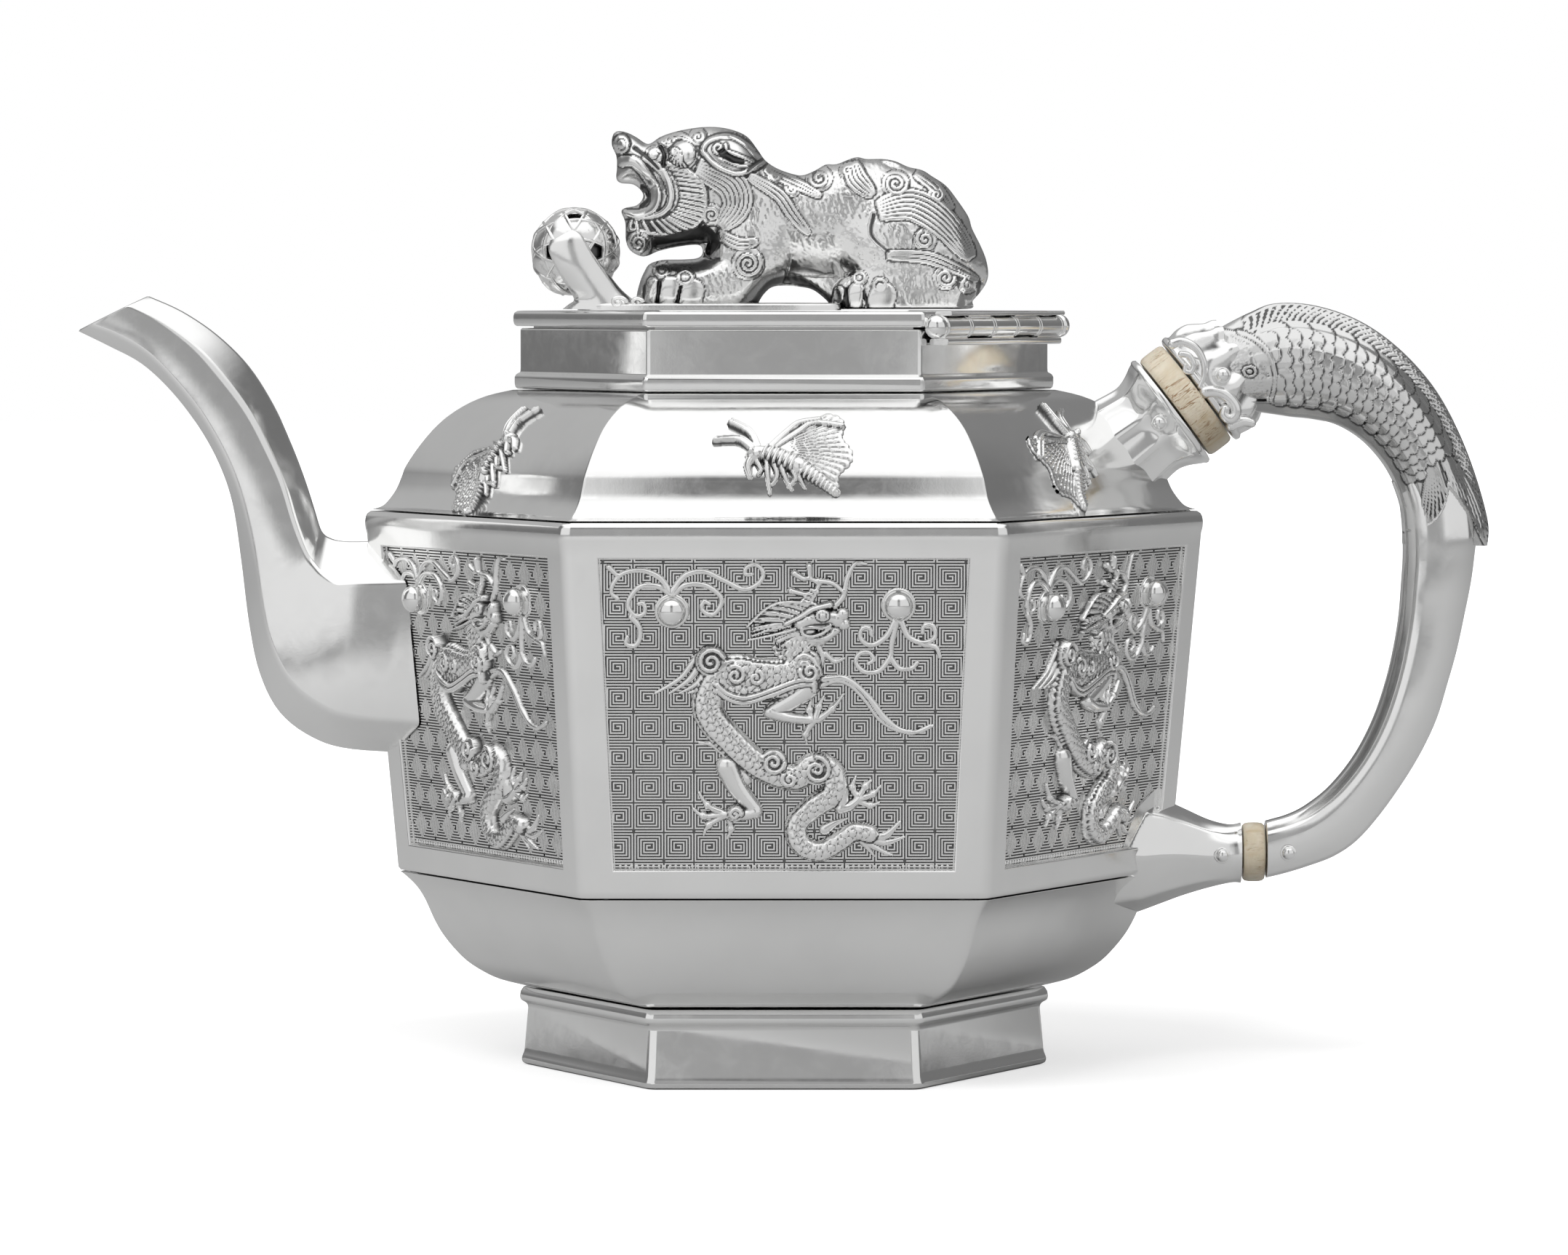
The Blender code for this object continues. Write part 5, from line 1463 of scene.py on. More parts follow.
def draw_moth():
    relief = Relief((-15.0, -0.6), (9.6, 17.4), 0.14)
    relief_wing(relief)
    for line, start, end in (([(-6.6, 9.2), (-8.0, 12.6), (-11.4, 15.1)], 0.75, 0.55),
                             ([(-7.2, 9.0), (-9.9, 11.3), (-14.0, 11.2)], 0.75, 0.55)):
        relief.stroke(line, start, end, 1.1, base=0.15)
        for shift in (-0.3, 0.3):
            relief.stroke([(x + shift, y + shift) for x, y in line], 0.2, 0.16, 0.25, base=1.05)
    relief.dome((-7.4, 8.0), 1.45, 1.8, base=0.2)
    relief.stroke([(-7.6, 7.6), (-8.4, 6.0), (-8.0, 4.0)], 0.95, 0.5, 1.5, base=0.15)
    relief.stroke([(-6.9, 7.0), (-6.2, 5.2), (-6.6, 4.4)], 0.6, 0.4, 1.2, base=0.15)
    relief.dome((-7.9, 8.2), 0.5, 0.5, base=1.9)
    relief.stroke([(-6.8, 8.4), (-4.2, 8.2), (-1.6, 7.0), (0.4, 5.8)], 1.5, 1.7, 1.8, base=0.15)
    for share in range(6):
        x, y = -5.6 + share * 0.95, 8.4 - share * 0.42
        relief.stroke([(x - 0.3, y - 1.1), (x + 0.1, y), (x + 0.7, y + 1.0)], 0.3, 0.22, 0.35, base=1.8)
    for line in ([(-5.2, 7.0), (-5.0, 4.0), (-4.6, 1.0)], [(-4.0, 6.8), (-3.4, 4.2), (-4.2, 2.6)],
                 [(-2.8, 6.4), (-1.9, 3.6), (-0.9, 1.7)], [(-1.4, 6.0), (-0.2, 3.8), (-1.4, 2.2)],
                 [(0.0, 5.6), (0.7, 3.4), (1.4, 2.0)]):
        relief.stroke(line, 0.62, 0.35, 1.2, base=0.15)
    relief.stroke([(0.2, 5.7), (2.2, 4.8), (4.6, 3.0), (6.7, 1.2)], 1.55, 0.8, 1.5, base=0.15)
    for share in range(9):
        x, y = 1.1 + share * 0.66, 5.3 - share * 0.48
        reach = 1.15 - share * 0.08
        relief.stroke([(x - 0.5 * reach, y - 0.8 * reach), (x + 0.1, y), (x + 0.6 * reach, y + 0.7 * reach)],
                      0.26, 0.22, 0.3, base=1.45 - share * 0.05)
    return relief


def relief_wing(relief):
    """A thin fan with fine veins under two folded strips."""
    root = np.array((-4.6, 9.0))
    for index in range(15):
        angle = math.radians(38 - index * 4.9)
        reach = 12.8 + 0.8 * math.sin(index * 0.9)
        tip = root + reach * np.array((math.cos(angle), math.sin(angle)))
        relief.stroke([root, root + 0.5 * (tip - root) + (0, 0.3), tip], 0.35, 0.85, 0.34, 0.3, base=0.22)
        relief.stroke([root, root + 0.5 * (tip - root) + (0, 0.3), tip], 0.16, 0.12, 0.2, base=0.55)
        for share in (0.35, 0.5, 0.65, 0.8, 0.93):
            relief.dome(root + share * (tip - root) + (0, 0.3 * (1 - share)), 0.24, 0.22, base=0.6)
    for line in ([(-4.4, 9.8), (-1.2, 13.4), (0.5, 15.0), (3.7, 15.8)], [(-3.6, 9.8), (0.2, 12.8), (2.9,
                 14.9), (7.7, 14.3)]):
        relief.stroke(line, 0.8, 0.7, 0.7, base=0.3)
        relief.stroke([(x, y - 0.45) for x, y in line], 0.2, 0.2, 0.3, base=0.9)


def shoulder_surface():
    """The shoulder's face profile by arc length: distance along, apothem and z."""
    curve = smooth_curve(SHOULDER_CURVE, 6)
    apothem, z = curve[:, 0] * FLAT, curve[:, 1]
    along = np.concatenate(([0], np.cumsum(np.hypot(np.diff(apothem), np.diff(z)))))
    return along, apothem, z


def moth_pieces():
    relief = draw_moth()
    along, apothem, z = shoulder_surface()
    settle = float(np.interp(MOTH_SETTLE_Z, z, along))
    # Painted shade and sulphide: the moth darkens in its hollows and the closer it sinks to the shoulder, within
    # 0.35 mm of it.
    hollow = np.maximum(relief.cavity(0.2), np.clip(1 - relief.height / 0.35, 0, 1))
    for face, (flip, turn, shift_across, shift_up) in enumerate(MOTH_PLACES):
        outwards = np.array(direction(face_angle(face)))
        across = np.array(UP.cross(direction(face_angle(face))))

        def place(x, y, height):
            x, y = (x - MOTH_MIDDLE[0]) * flip, y - MOTH_MIDDLE[1]
            cosine, sine = math.cos(math.radians(turn)), math.sin(math.radians(turn))
            side = x * cosine - y * sine + shift_across
            climb = settle + x * sine + y * cosine + shift_up
            reach, level = np.interp(climb, along, apothem), np.interp(climb, along, z)
            run = np.interp(climb + 0.2, along, apothem) - np.interp(climb - 0.2, along, apothem)
            rise = np.interp(climb + 0.2, along, z) - np.interp(climb - 0.2, along, z)
            size = np.hypot(run, rise)
            lift = (height - 0.08)[:, None]
            normal = (rise / size)[:, None] * outwards + (-run / size)[:, None] * np.array((0, 0, 1))
            return reach[:, None] * outwards + side[:, None] * across + level[:, None] * np.array((0, 0,
                1)) + lift * normal

        points, quads, used = relief.skin(relief.height > 0.04, place)
        if flip < 0:
            quads = quads[:, ::-1]
        piece = array_piece(f"moth_{face + 1}_relief", points, quads, CHASED, "pot",
                            (f"moth_{face + 1}",))
        write_attribute(piece.data, "cavity", hollow.ravel()[used])
# ---- the lion on the lid ----

# The lion's outline in the X-Z plane, from the nose over the back, along the feet and back to the open mouth.
LION_OUTLINE = [
    (-30.9, 165.6), (-30.7, 167.4), (-29.8, 168.1), (-28.1, 167.8), (-26.5, 167.0), (-24.4, 165.8), (-22.3,
        167.0),
    (-20.2, 167.8), (-17.1, 168.5), (-13.9, 168.85), (-11.0, 168.7), (-8.3, 168.0), (-6.4, 166.9), (-4.7,
        164.7),
    (-3.3, 162.8), (-1.2, 161.4), (1.6, 160.4), (3.4, 160.2), (5.5, 161.0), (7.5, 162.1), (9.5,
        162.2), (12.8, 163.4),
    (14.8, 163.1), (17.8, 163.1), (20.0, 162.7), (22.3, 161.7), (24.8, 161.1), (26.6, 160.0), (29.1, 158.3),
    (31.1, 155.8), (33.1, 152.8), (33.8, 150.6), (35.3, 147.6), (36.3, 145.1), (36.7, 142.6), (36.3, 140.8),
    (35.1, 139.0), (33.9, 137.6), (33.6, 136.3), (27.0, 136.2), (15.0, 136.2), (8.6, 136.3), (7.8,
        137.6), (5.3, 139.6),
    (2.8, 140.2), (-0.1, 140.4), (-2.2, 140.1), (-3.6, 138.9), (-4.5, 137.5), (-5.0, 136.3), (-12.0, 136.2),
    (-25.9, 136.3), (-26.5, 138.2), (-25.9, 141.0), (-25.1, 142.9), (-24.1, 144.3), (-21.8, 145.0), (-18.0,
        145.1),
    (-15.4, 145.4), (-14.6, 146.5), (-15.4, 147.7), (-19.0, 147.4), (-22.5, 146.6), (-24.4, 145.8), (-25.8,
        145.7),
    (-27.6, 146.7), (-28.4, 148.5), (-28.5, 151.6), (-29.2, 153.6), (-28.6, 154.3), (-26.5, 154.8), (-25.4,
        156.0),
    (-25.5, 157.2), (-27.0, 158.5), (-29.3, 158.8), (-30.1, 159.6), (-30.0, 161.6), (-30.1, 163.6),
]
# Rounded masses: x, y, z, their three radii and the lean in degrees.
LION_MASSES = [
    (8, 0, 152.0, 19, 9.3, 10.5, 0), (13, 0, 155.0, 10, 8.3, 9.0, 0), (24, 0, 150.5, 12.5, 9.2, 12.0, 25),
    (28.5, 0, 146.0, 8.6, 8.3, 9.6, 10), (21, 3.4, 147.0, 12.5, 8.6, 9.5, 20), (22.5, 7.2, 139.2, 13.6, 4.4,
        5.2, 0),
    (-4.5, 0, 152.5, 9.8, 9.4, 9.6, 0), (-6.0, 3.6, 146.5, 7.2, 7.6, 9.0, 0), (-15.5, 6.8, 140.4, 11.6, 4.6,
        5.0, 0),
    (-9.0, 0, 158.5, 10.0, 9.2, 9.0, 0), (-14.2, 0, 161.2, 9.8, 8.6, 8.6, 0), (-24.5, 0, 163.3, 7.2, 5.6,
        5.2, 0),
    (-28.0, 0, 165.2, 3.6, 3.8, 3.6, 0), (-16.5, 0, 154.5, 8.6, 8.6, 8.4, 0), (-22.5, 0, 151.2, 7.8, 5.8,
        4.8, 0),
    (-25.9, 0, 148.7, 3.4, 5.2, 3.6, 0), (-26.0, 0, 160.6, 5.4, 5.0, 3.0, 0),
]
EAR_OUTLINE = [
    (-15.1, 164.4), (-13.9, 166.6), (-11.3, 167.6), (-8.7, 167.4), (-6.4, 166.0), (-4.7, 164.2), (-3.4,
        162.1),
    (-7.6, 159.7), (-11.0, 160.4), (-13.4, 162.0),
]
# Curls: centre, radius, turns, starting angle and way.
LION_CURLS = [
    ((-18.2, 163.6), 2.2, 1.8, 2.6, -1), ((-20.7, 166.4), 0.9, 1.1, 0.0, 1), ((-15.4, 167.0), 1.1, 1.2, 1.0,
        -1),
    ((-23.2, 163.8), 1.1, 1.2, 0.5, 1), ((-12.9, 153.0), 1.5, 1.5, 4.0, -1),
    ((-6.4, 144.3), 2.4, 2.2, 0.6, -1), ((-9.2, 161.6), 0.9, 1.1, 0.0, 1), ((6.3, 159.6), 1.9, 1.6, 2.0, 1),
    ((20.0, 158.6), 2.0, 1.9, 0.0, -1), ((25.1, 148.6), 1.6, 1.6, 2.0, 1), ((28.8, 141.8), 1.7, 1.6, 0.0, -1),
    ((32.7, 140.5), 1.1, 1.3, 2.0, 1), ((27.4, 156.6), 1.2, 1.3, 1.0, -1), ((11.4, 160.9), 1.0, 1.2, 1.0, 1),
    ((1.4, 157.6), 1.0, 1.2, 3.0, 1), ((-1.6, 160.0), 0.9, 1.0, 0.0, -1),
]
# Locks of hair: the middle strand's points, how many strands lie side by side, and their spacing.
LION_LOCKS = [
    ([(-15.2, 161.4), (-9.6, 158.6), (-8.4, 154.6), (-11.4, 150.9)], 7, 0.82),
    ([(-6.0, 159.8), (-1.0, 156.6), (1.6, 153.0), (4.4, 149.6)], 3, 0.8),
    ([(-3.0, 161.2), (1.6, 158.9), (6.4, 156.4)], 3, 0.75),
    ([(12.2, 162.2), (13.0, 159.4), (15.8, 156.6)], 5, 0.8),
    ([(17.0, 153.8), (22.8, 154.8), (28.6, 151.4), (33.4, 145.4)], 7, 0.85),
    ([(18.6, 145.8), (25.3, 145.4), (30.6, 143.4), (34.6, 141.4)], 3, 0.8),
    ([(23.8, 160.4), (27.0, 158.0), (30.0, 154.2)], 3, 0.8),
    ([(-22.0, 166.0), (-19.0, 167.2), (-16.4, 166.2)], 2, 0.7),
    ([(-11.6, 149.6), (-8.0, 147.8), (-4.8, 148.2)], 3, 0.75),
]
# The ruff's ribs run from its inner line to its outer one.
RUFF_INNER = [(-20.9, 162.3), (-19.0, 159.2), (-18.4, 155.8), (-19.8, 153.2), (-22.6, 151.9), (-27.4, 151.9)]
RUFF_OUTER = [(-17.6, 161.2), (-14.7, 158.6), (-14.0, 155.0), (-15.2, 151.6), (-19.8, 149.3), (-27.8, 150.5)]
RUFF_RIBS = 22
# Cuts into the surface, also painted dark as the shade in them, under the jaw and under the belly most of all:
# points, half width at the start and the end, depth.
LION_CUTS = [
    ([(-24.9, 140.4), (-25.3, 136.4)], 0.35, 0.3, 0.7), ([(-22.3, 141.0), (-22.7, 136.4)], 0.35, 0.3, 0.8),
    ([(-18.5, 139.9), (-19.4, 136.4)], 0.3, 0.25, 0.7), ([(11.0, 139.8), (11.4, 136.4)], 0.35, 0.3, 0.7),
    ([(14.2, 139.4), (15.0, 136.4)], 0.3, 0.25, 0.7), ([(-22.8, 148.0), (-18.6, 148.7), (-14.6, 149.4)], 0.9,
        1.5, 2.2),
    ([(-14.2, 149.6), (-12.6, 148.4), (-13.4, 146.6)], 1.5, 0.8, 2.2), ([(-26.6, 164.9), (-24.6, 163.4),
        (-22.4, 161.2)], 0.5, 0.3, 0.7),
    ([(-22.1, 165.2), (-21.4, 163.6), (-21.6, 161.6)], 0.45, 0.3, 0.8), ([(-25.4, 158.2), (-24.2, 156.2),
        (-25.6, 154.6)], 0.5, 0.4, 0.9),
    ([(-10.9, 164.0), (-9.2, 162.8), (-7.4, 162.5)], 0.9, 0.5, 0.8), ([(-5.0, 137.6), (-2.0, 140.9), (2.6,
        141.2), (8.0, 137.8)], 0.9, 0.9, 0.5),
    ([(16.0, 153.0), (15.6, 149.4), (18.6, 146.4)], 0.4, 0.3, 0.5), ([(35.0, 141.0), (34.6, 138.4)], 0.5,
        0.35, 0.6),
    ([(-3.9, 163.0), (-6.4, 160.8)], 0.4, 0.3, 0.6), ([(-9.8, 166.9), (-4.4, 163.8)], 0.25, 0.2, 0.3),
]
LION_STUDS = [((-21.8, 143.2), 1.05), ((-17.6, 141.9), 1.25), ((13.4, 141.8), 0.95), ((17.1, 140.4), 1.05)]
# Toes: where each starts, its top and its half width.
LION_TOES = [(-23.4, 140.8, 1.1), (-20.2, 140.6, 1.6), (-16.2, 139.6, 2.0), (9.9, 139.4, 0.9), (12.9, 139.6,
             1.4), (17.6, 138.6, 2.4)]
LION_LOW = (-31.6, 135.6)
LION_HIGH = (37.4, 169.4)
LION_STEP = 0.22
LION_BASE = 136.6


def outline_distance(outline, x, y):
    """Signed distance to a closed outline (positive inside) and the nearest point on it."""
    best = np.full(x.shape, 1e9)
    nearest = np.stack((x, y), axis=-1)
    crossings = np.zeros(x.shape, int)
    for start, end in zip(outline, np.roll(outline, -1, axis=0)):
        run = end - start
        length = max(run @ run, 1e-12)
        share = np.clip(((x - start[0]) * run[0] + (y - start[1]) * run[1]) / length, 0, 1)
        px, py = start[0] + share * run[0], start[1] + share * run[1]
        away = np.hypot(x - px, y - py)
        closer = away < best
        best[closer] = away[closer]
        nearest[closer] = np.stack((px, py), axis=-1)[closer]
        if start[1] != end[1]:
            spans = (start[1] > y) != (end[1] > y)
            crossings += spans & (x < run[0] * (y - start[1]) / run[1] + start[0])
    return np.where(crossings % 2 == 1, best, -best), nearest


def mass_height(masses, x, z, blend=0.9):
    """Half the thickness of rounded masses that run into one another."""
    total = np.zeros(x.shape)
    for mx, my, mz, rx, ry, rz, lean in masses:
        cosine, sine = math.cos(math.radians(lean)), math.sin(math.radians(lean))
        dx, dz = x - mx, z - mz
        inside = 1 - ((dx * cosine - dz * sine) / rx) ** 2 - ((dx * sine + dz * cosine) / rz) ** 2
        reach = np.where(inside > 0, my + ry * np.sqrt(np.clip(inside, 0, 1)), 0)
        total += np.expm1(blend * reach)
    return np.log1p(total) / blend


def draw_lion_detail():
    detail = Relief(LION_LOW, LION_HIGH, LION_STEP)
    for centre, radius, turns, angle, way in LION_CURLS:
        detail.dome(centre, radius + 0.5, 0.35, 0.4, 0.12)
        detail.curl(centre, radius, turns, angle, 0.36, 0.42, 0.4, way)
    for points, count, spacing in LION_LOCKS:
        path = smooth_curve(points, 5)
        run = np.gradient(path, axis=0)
        normal = np.stack((-run[:, 1], run[:, 0]), axis=1) / np.linalg.norm(run, axis=1)[:, None]
        for index in range(count):
            shift = (index - (count - 1) / 2) * spacing
            taper = np.sin(np.linspace(0.35, math.pi - 0.1, len(path)))[:, None] ** 0.5
            detail.stroke(path + normal * shift * taper, 0.42, 0.3, 0.55, base=0.06, steps=1)
    draw_ruff(detail)
    draw_face(detail)
    draw_ear(detail)
    detail.curl((-26.1, 147.9), 1.9, 1.9, 1.6, 0.36, 0.45, 1.2)
    for centre, radius in LION_STUDS:
        detail.dome(centre, radius + 0.5, 0.3, 0.3, 0.1)
        ring = [(centre[0] + radius * math.cos(a * 0.5), centre[1] + radius * math.sin(a * 0.5))
                for a in range(14)]
        detail.stroke(ring, 0.26, 0.26, 0.35, base=0.35, steps=2)
        detail.dome(centre, radius * 0.6, 0.5, base=0.1)
    for x, top, half in LION_TOES:
        detail.stroke([(x, top), (x - 0.4, (top + 136) / 2), (x - 0.7, 136.0)], half, half, 0.6, 0.3,
                      base=0.1)
    draw_fur(detail)
    return detail


def draw_fur(detail):
    """Short hairs punched all over what the curls and locks leave bare, in rows that flow to the tail."""
    chance = np.random.default_rng(11)
    for _ in range(3600):
        x, z = chance.uniform(-24, 36), chance.uniform(137, 168)
        column, row = int((x - detail.xs[0]) / detail.step), int((z - detail.ys[0]) / detail.step)
        if detail.height[row, column] > 0.05:
            continue
        lean = math.radians(-62 + 14 * math.sin(x * 0.21) + chance.normal(0, 9))
        size = chance.uniform(0.35, 0.7)
        tip = (x + size * math.cos(lean), z + size * math.sin(lean))
        detail.stroke([(x, z), tip], 0.26, 0.2, chance.uniform(0.05, 0.13), steps=1)


def draw_ruff(detail):
    """Ribs that stand round the open jaw like a pleated collar, inside a thin rim."""
    inner, outer = (smooth_curve(line, 12) for line in (RUFF_INNER, RUFF_OUTER))
    for index in range(RUFF_RIBS):
        share = index / (RUFF_RIBS - 1)
        start, end = inner[int(share * (len(inner) - 1))], outer[int(share * (len(outer) - 1))]
        detail.stroke([start, (start + end) / 2, end], 0.3, 0.43, 0.7, base=0.15, steps=2)
    detail.stroke(RUFF_OUTER, 0.4, 0.4, 0.5, base=0.2)


def draw_face(detail):
    """The lip that rolls right round the jaws, the band outside it, the shell of the nostril and the brow."""
    detail.stroke([(-28.9, 162.6), (-26.6, 162.4), (-24.2, 159.6), (-22.9, 156.6), (-23.6, 154.2), (-26.0,
                  153.2), (-28.6, 153.2)],
                  1.05, 0.75, 0.9, base=0.25)
    detail.stroke([(-24.6, 163.2), (-21.7, 160.6), (-20.3, 157.4), (-20.6, 154.6), (-22.6, 153.0), (-26.4,
                  152.5)],
                  0.75, 0.45, 0.5, base=0.2)
    detail.dome((-29.1, 165.6), 1.45, 0.9, base=0.2)
    ring = [(-29.1 + 1.15 * math.cos(a * 0.4), 165.7 + 1.4 * math.sin(a * 0.4)) for a in range(17)]
    detail.stroke(ring, 0.35, 0.35, 0.35, base=0.75, steps=2)
    detail.dome((-18.1, 163.9), 2.35, 1.3, base=0.2)
    for index in range(7):
        angle = 2.2 + 0.32 * index
        path = [(-18.1 + reach * math.cos(angle + 0.35 * reach),
                163.9 + reach * math.sin(angle + 0.35 * reach)) for reach in (0.5, 1.4, 2.3)]
        detail.stroke(path, 0.22, 0.18, 0.32, base=1.5)
    detail.curl((-19.6, 164.2), 0.8, 1.3, 0.0, 0.24, 0.35, 1.6)
    detail.dome((-23.2, 163.9), 0.75, 0.7, base=0.4)
    detail.dome((-26.0, 147.9), 2.3, 0.9, base=0.3)


def draw_ear(detail):
    """A leaf-shaped ear with a rolled rim and a curl in its hollow."""
    outline = closed_curve(EAR_OUTLINE, 5)
    away, _ = outline_distance(outline, detail.x, detail.y)
    rim = np.clip(1 - np.abs(away - 0.55) / 0.6, 0, 1) ** 0.6
    leaf = np.where(away > 0, 0.9 * np.minimum(away / 0.5, 1) + 0.75 * rim, 0)
    detail.height = np.maximum(detail.height, leaf)
    detail.curl((-11.6, 164.9), 1.4, 1.3, 0.5, 0.34, 0.5, 0.95, -1)
    detail.stroke([(-10.0, 164.2), (-7.6, 163.4), (-5.6, 162.6)], 0.4, 0.25, 0.5, base=0.95)
    detail.stroke([(-10.4, 162.8), (-8.2, 161.8), (-6.6, 161.6)], 0.36, 0.22, 0.45, base=0.95)


def two_sided(name, relief, outline, depth, hollow, material, replaces, body):
    """A solid whose two sides are the height field depth, closed along a smooth outline in the X-Z plane."""
    away, nearest = outline_distance(outline, relief.x, relief.y)
    inside = away > 0.25 * relief.step
    kept = inside[:-1, :-1] & inside[1:, :-1] & inside[:-1, 1:] & inside[1:, 1:]
    used, packed = kept_quads(kept)
    sides = np.concatenate([packed[:, [0, 1]], packed[:, [1, 2]], packed[:, [2, 3]], packed[:, [3, 0]]])
    keys, counts = np.unique(np.sort(sides, axis=1), axis=0, return_counts=True)
    rim = np.unique(keys[counts == 1])
    on_rim = np.zeros(len(used), bool)
    on_rim[rim] = True
    x, z = relief.x.ravel()[used].copy(), relief.y.ravel()[used].copy()
    x[on_rim], z[on_rim] = nearest.reshape(-1, 2)[used][on_rim].T
    y = np.where(on_rim, 0, depth.ravel()[used])
    back_index = np.arange(len(used))
    back_index[~on_rim] = len(used) + np.arange((~on_rim).sum())
    front = np.stack((x, -y, z), axis=1)
    back = np.stack((x, y, z), axis=1)[~on_rim]
    faces = np.concatenate((packed, back_index[packed][:, ::-1]))
    piece = array_piece(name, np.concatenate((front, back)), faces, material, body, replaces)
    shade = hollow.ravel()[used]
    write_attribute(piece.data, "cavity", np.concatenate((shade, shade[~on_rim])))
    return piece


def make_lion():
    """The crouching lion: swelling masses inside a cut outline, then curls, locks, ruff, ear and claws."""
    detail = draw_lion_detail()
    outline = closed_curve(LION_OUTLINE, 5)
    standing = outline.copy()
    standing[outline[:, 1] < LION_BASE, 1] -= 5
    away, _ = outline_distance(standing, detail.x, detail.y)
    deep = np.clip(away, 0, None)
    body = np.maximum(mass_height(LION_MASSES, detail.x, detail.y), 2.2)
    rolled = np.sqrt(np.clip(1 - (1 - np.clip(deep / 3.6, 0, 1)) ** 2, 0, 1))
    cuts = Relief(LION_LOW, LION_HIGH, LION_STEP)
    for line, start, end, height in LION_CUTS:
        cuts.stroke(line, start, end, height, 0.7)
    depth = body * rolled + (detail.height - cuts.height) * np.clip(deep / 0.8, 0, 1)
    # Painted shade and sulphide: the cuts are coloured dark on top of the sulphide in the relief's hollows.
    shade = np.maximum(detail.cavity(0.12, 5), np.clip(cuts.height / 0.55, 0, 1))
    two_sided("lion_finished", detail, outline, depth, shade, CHASED, ("lion",), "lid")


# ---- ribbon, strut and ball ----

RIBBON_PLATE = [
    (-37.4, -7.4), (-34.0, -11.8), (-26.0, -12.9), (-6.0, -13.5), (4.0, -12.9), (10.2, -11.2),
    (10.2, 11.2), (4.0, 12.9), (-6.0, 13.5), (-26.0, 12.9), (-32.0, 9.0), (-34.4, 0.0),
]
RIBBON_TOP = 137.3
STRUT_STATIONS = [
    (-31.4, -8.0, 136.2, 7.4, 3.9, 0), (-32.1, -8.2, 137.2, 5.6, 3.5, 0), (-33.2, -8.6, 138.8, 3.9, 2.9, 0.2),
    (-35.2, -9.4, 141.6, 3.1, 2.2, 0.5), (-37.4, -10.2, 144.9, 2.9, 1.6, 0.5), (-39.0, -10.1, 148.0, 2.7,
        1.2, 0.5),
    (-39.6, -9.6, 149.4, 1.9, 0.8, 0.5),
]
BALL_CENTRE = Vector((-37.5, 0, 146.4))
BALL_RADIUS = 8.0


def make_ribbon():
    """The cast ribbon under the lion's paws, and the tongue of it that holds the ball."""
    outline = rounded_polygon(RIBBON_PLATE, 2.5, 5)
    levels = ((0.0, 136.0), (0.0, 136.9), (0.25, RIBBON_TOP - 0.12), (0.6, RIBBON_TOP), (1.6,
              RIBBON_TOP - 0.1), (1.9, RIBBON_TOP - 0.28))
    rings = []
    for inset, z in levels:
        rings.append([Vector((x * (1 - inset / 30), y * (1 - inset / 12.5), z)) for x, y in outline])
    parts = [skin_rings(rings)]
    rings = []
    for x, y, z, along, across, lean in smooth_curve(STRUT_STATIONS, 5):
        ring = []
        for index in range(32):
            angle = math.tau * index / 32
            reach = 1 + 0.10 * math.cos(2 * angle)
            ring.append(Vector((x + along * reach * math.cos(angle), y + across * math.sin(angle),
                                z + lean * along * math.cos(angle))))
        rings.append(ring)
    parts.append(skin_rings(rings))
    for x, radius in ((-29.5, 1.5), (-26.2, 1.1)):
        path = [Vector((x + radius * (1 - s / 30) * math.cos(s * 0.3), -12.3,
                137.4 + 0.75 * radius * (1 - s / 30) * math.sin(s * 0.3)))
                for s in range(26)]
        parts.append(tube(path, lambda share: 0.42 - 0.2 * share))
    vertices, faces = join_parts(*parts)
    piece = finish_mesh("ribbon_strut_finished", vertices, faces, CHASED, "lid",
                        ("ribbon_strut",), 45)
    mark_cavities(piece, 0.6)


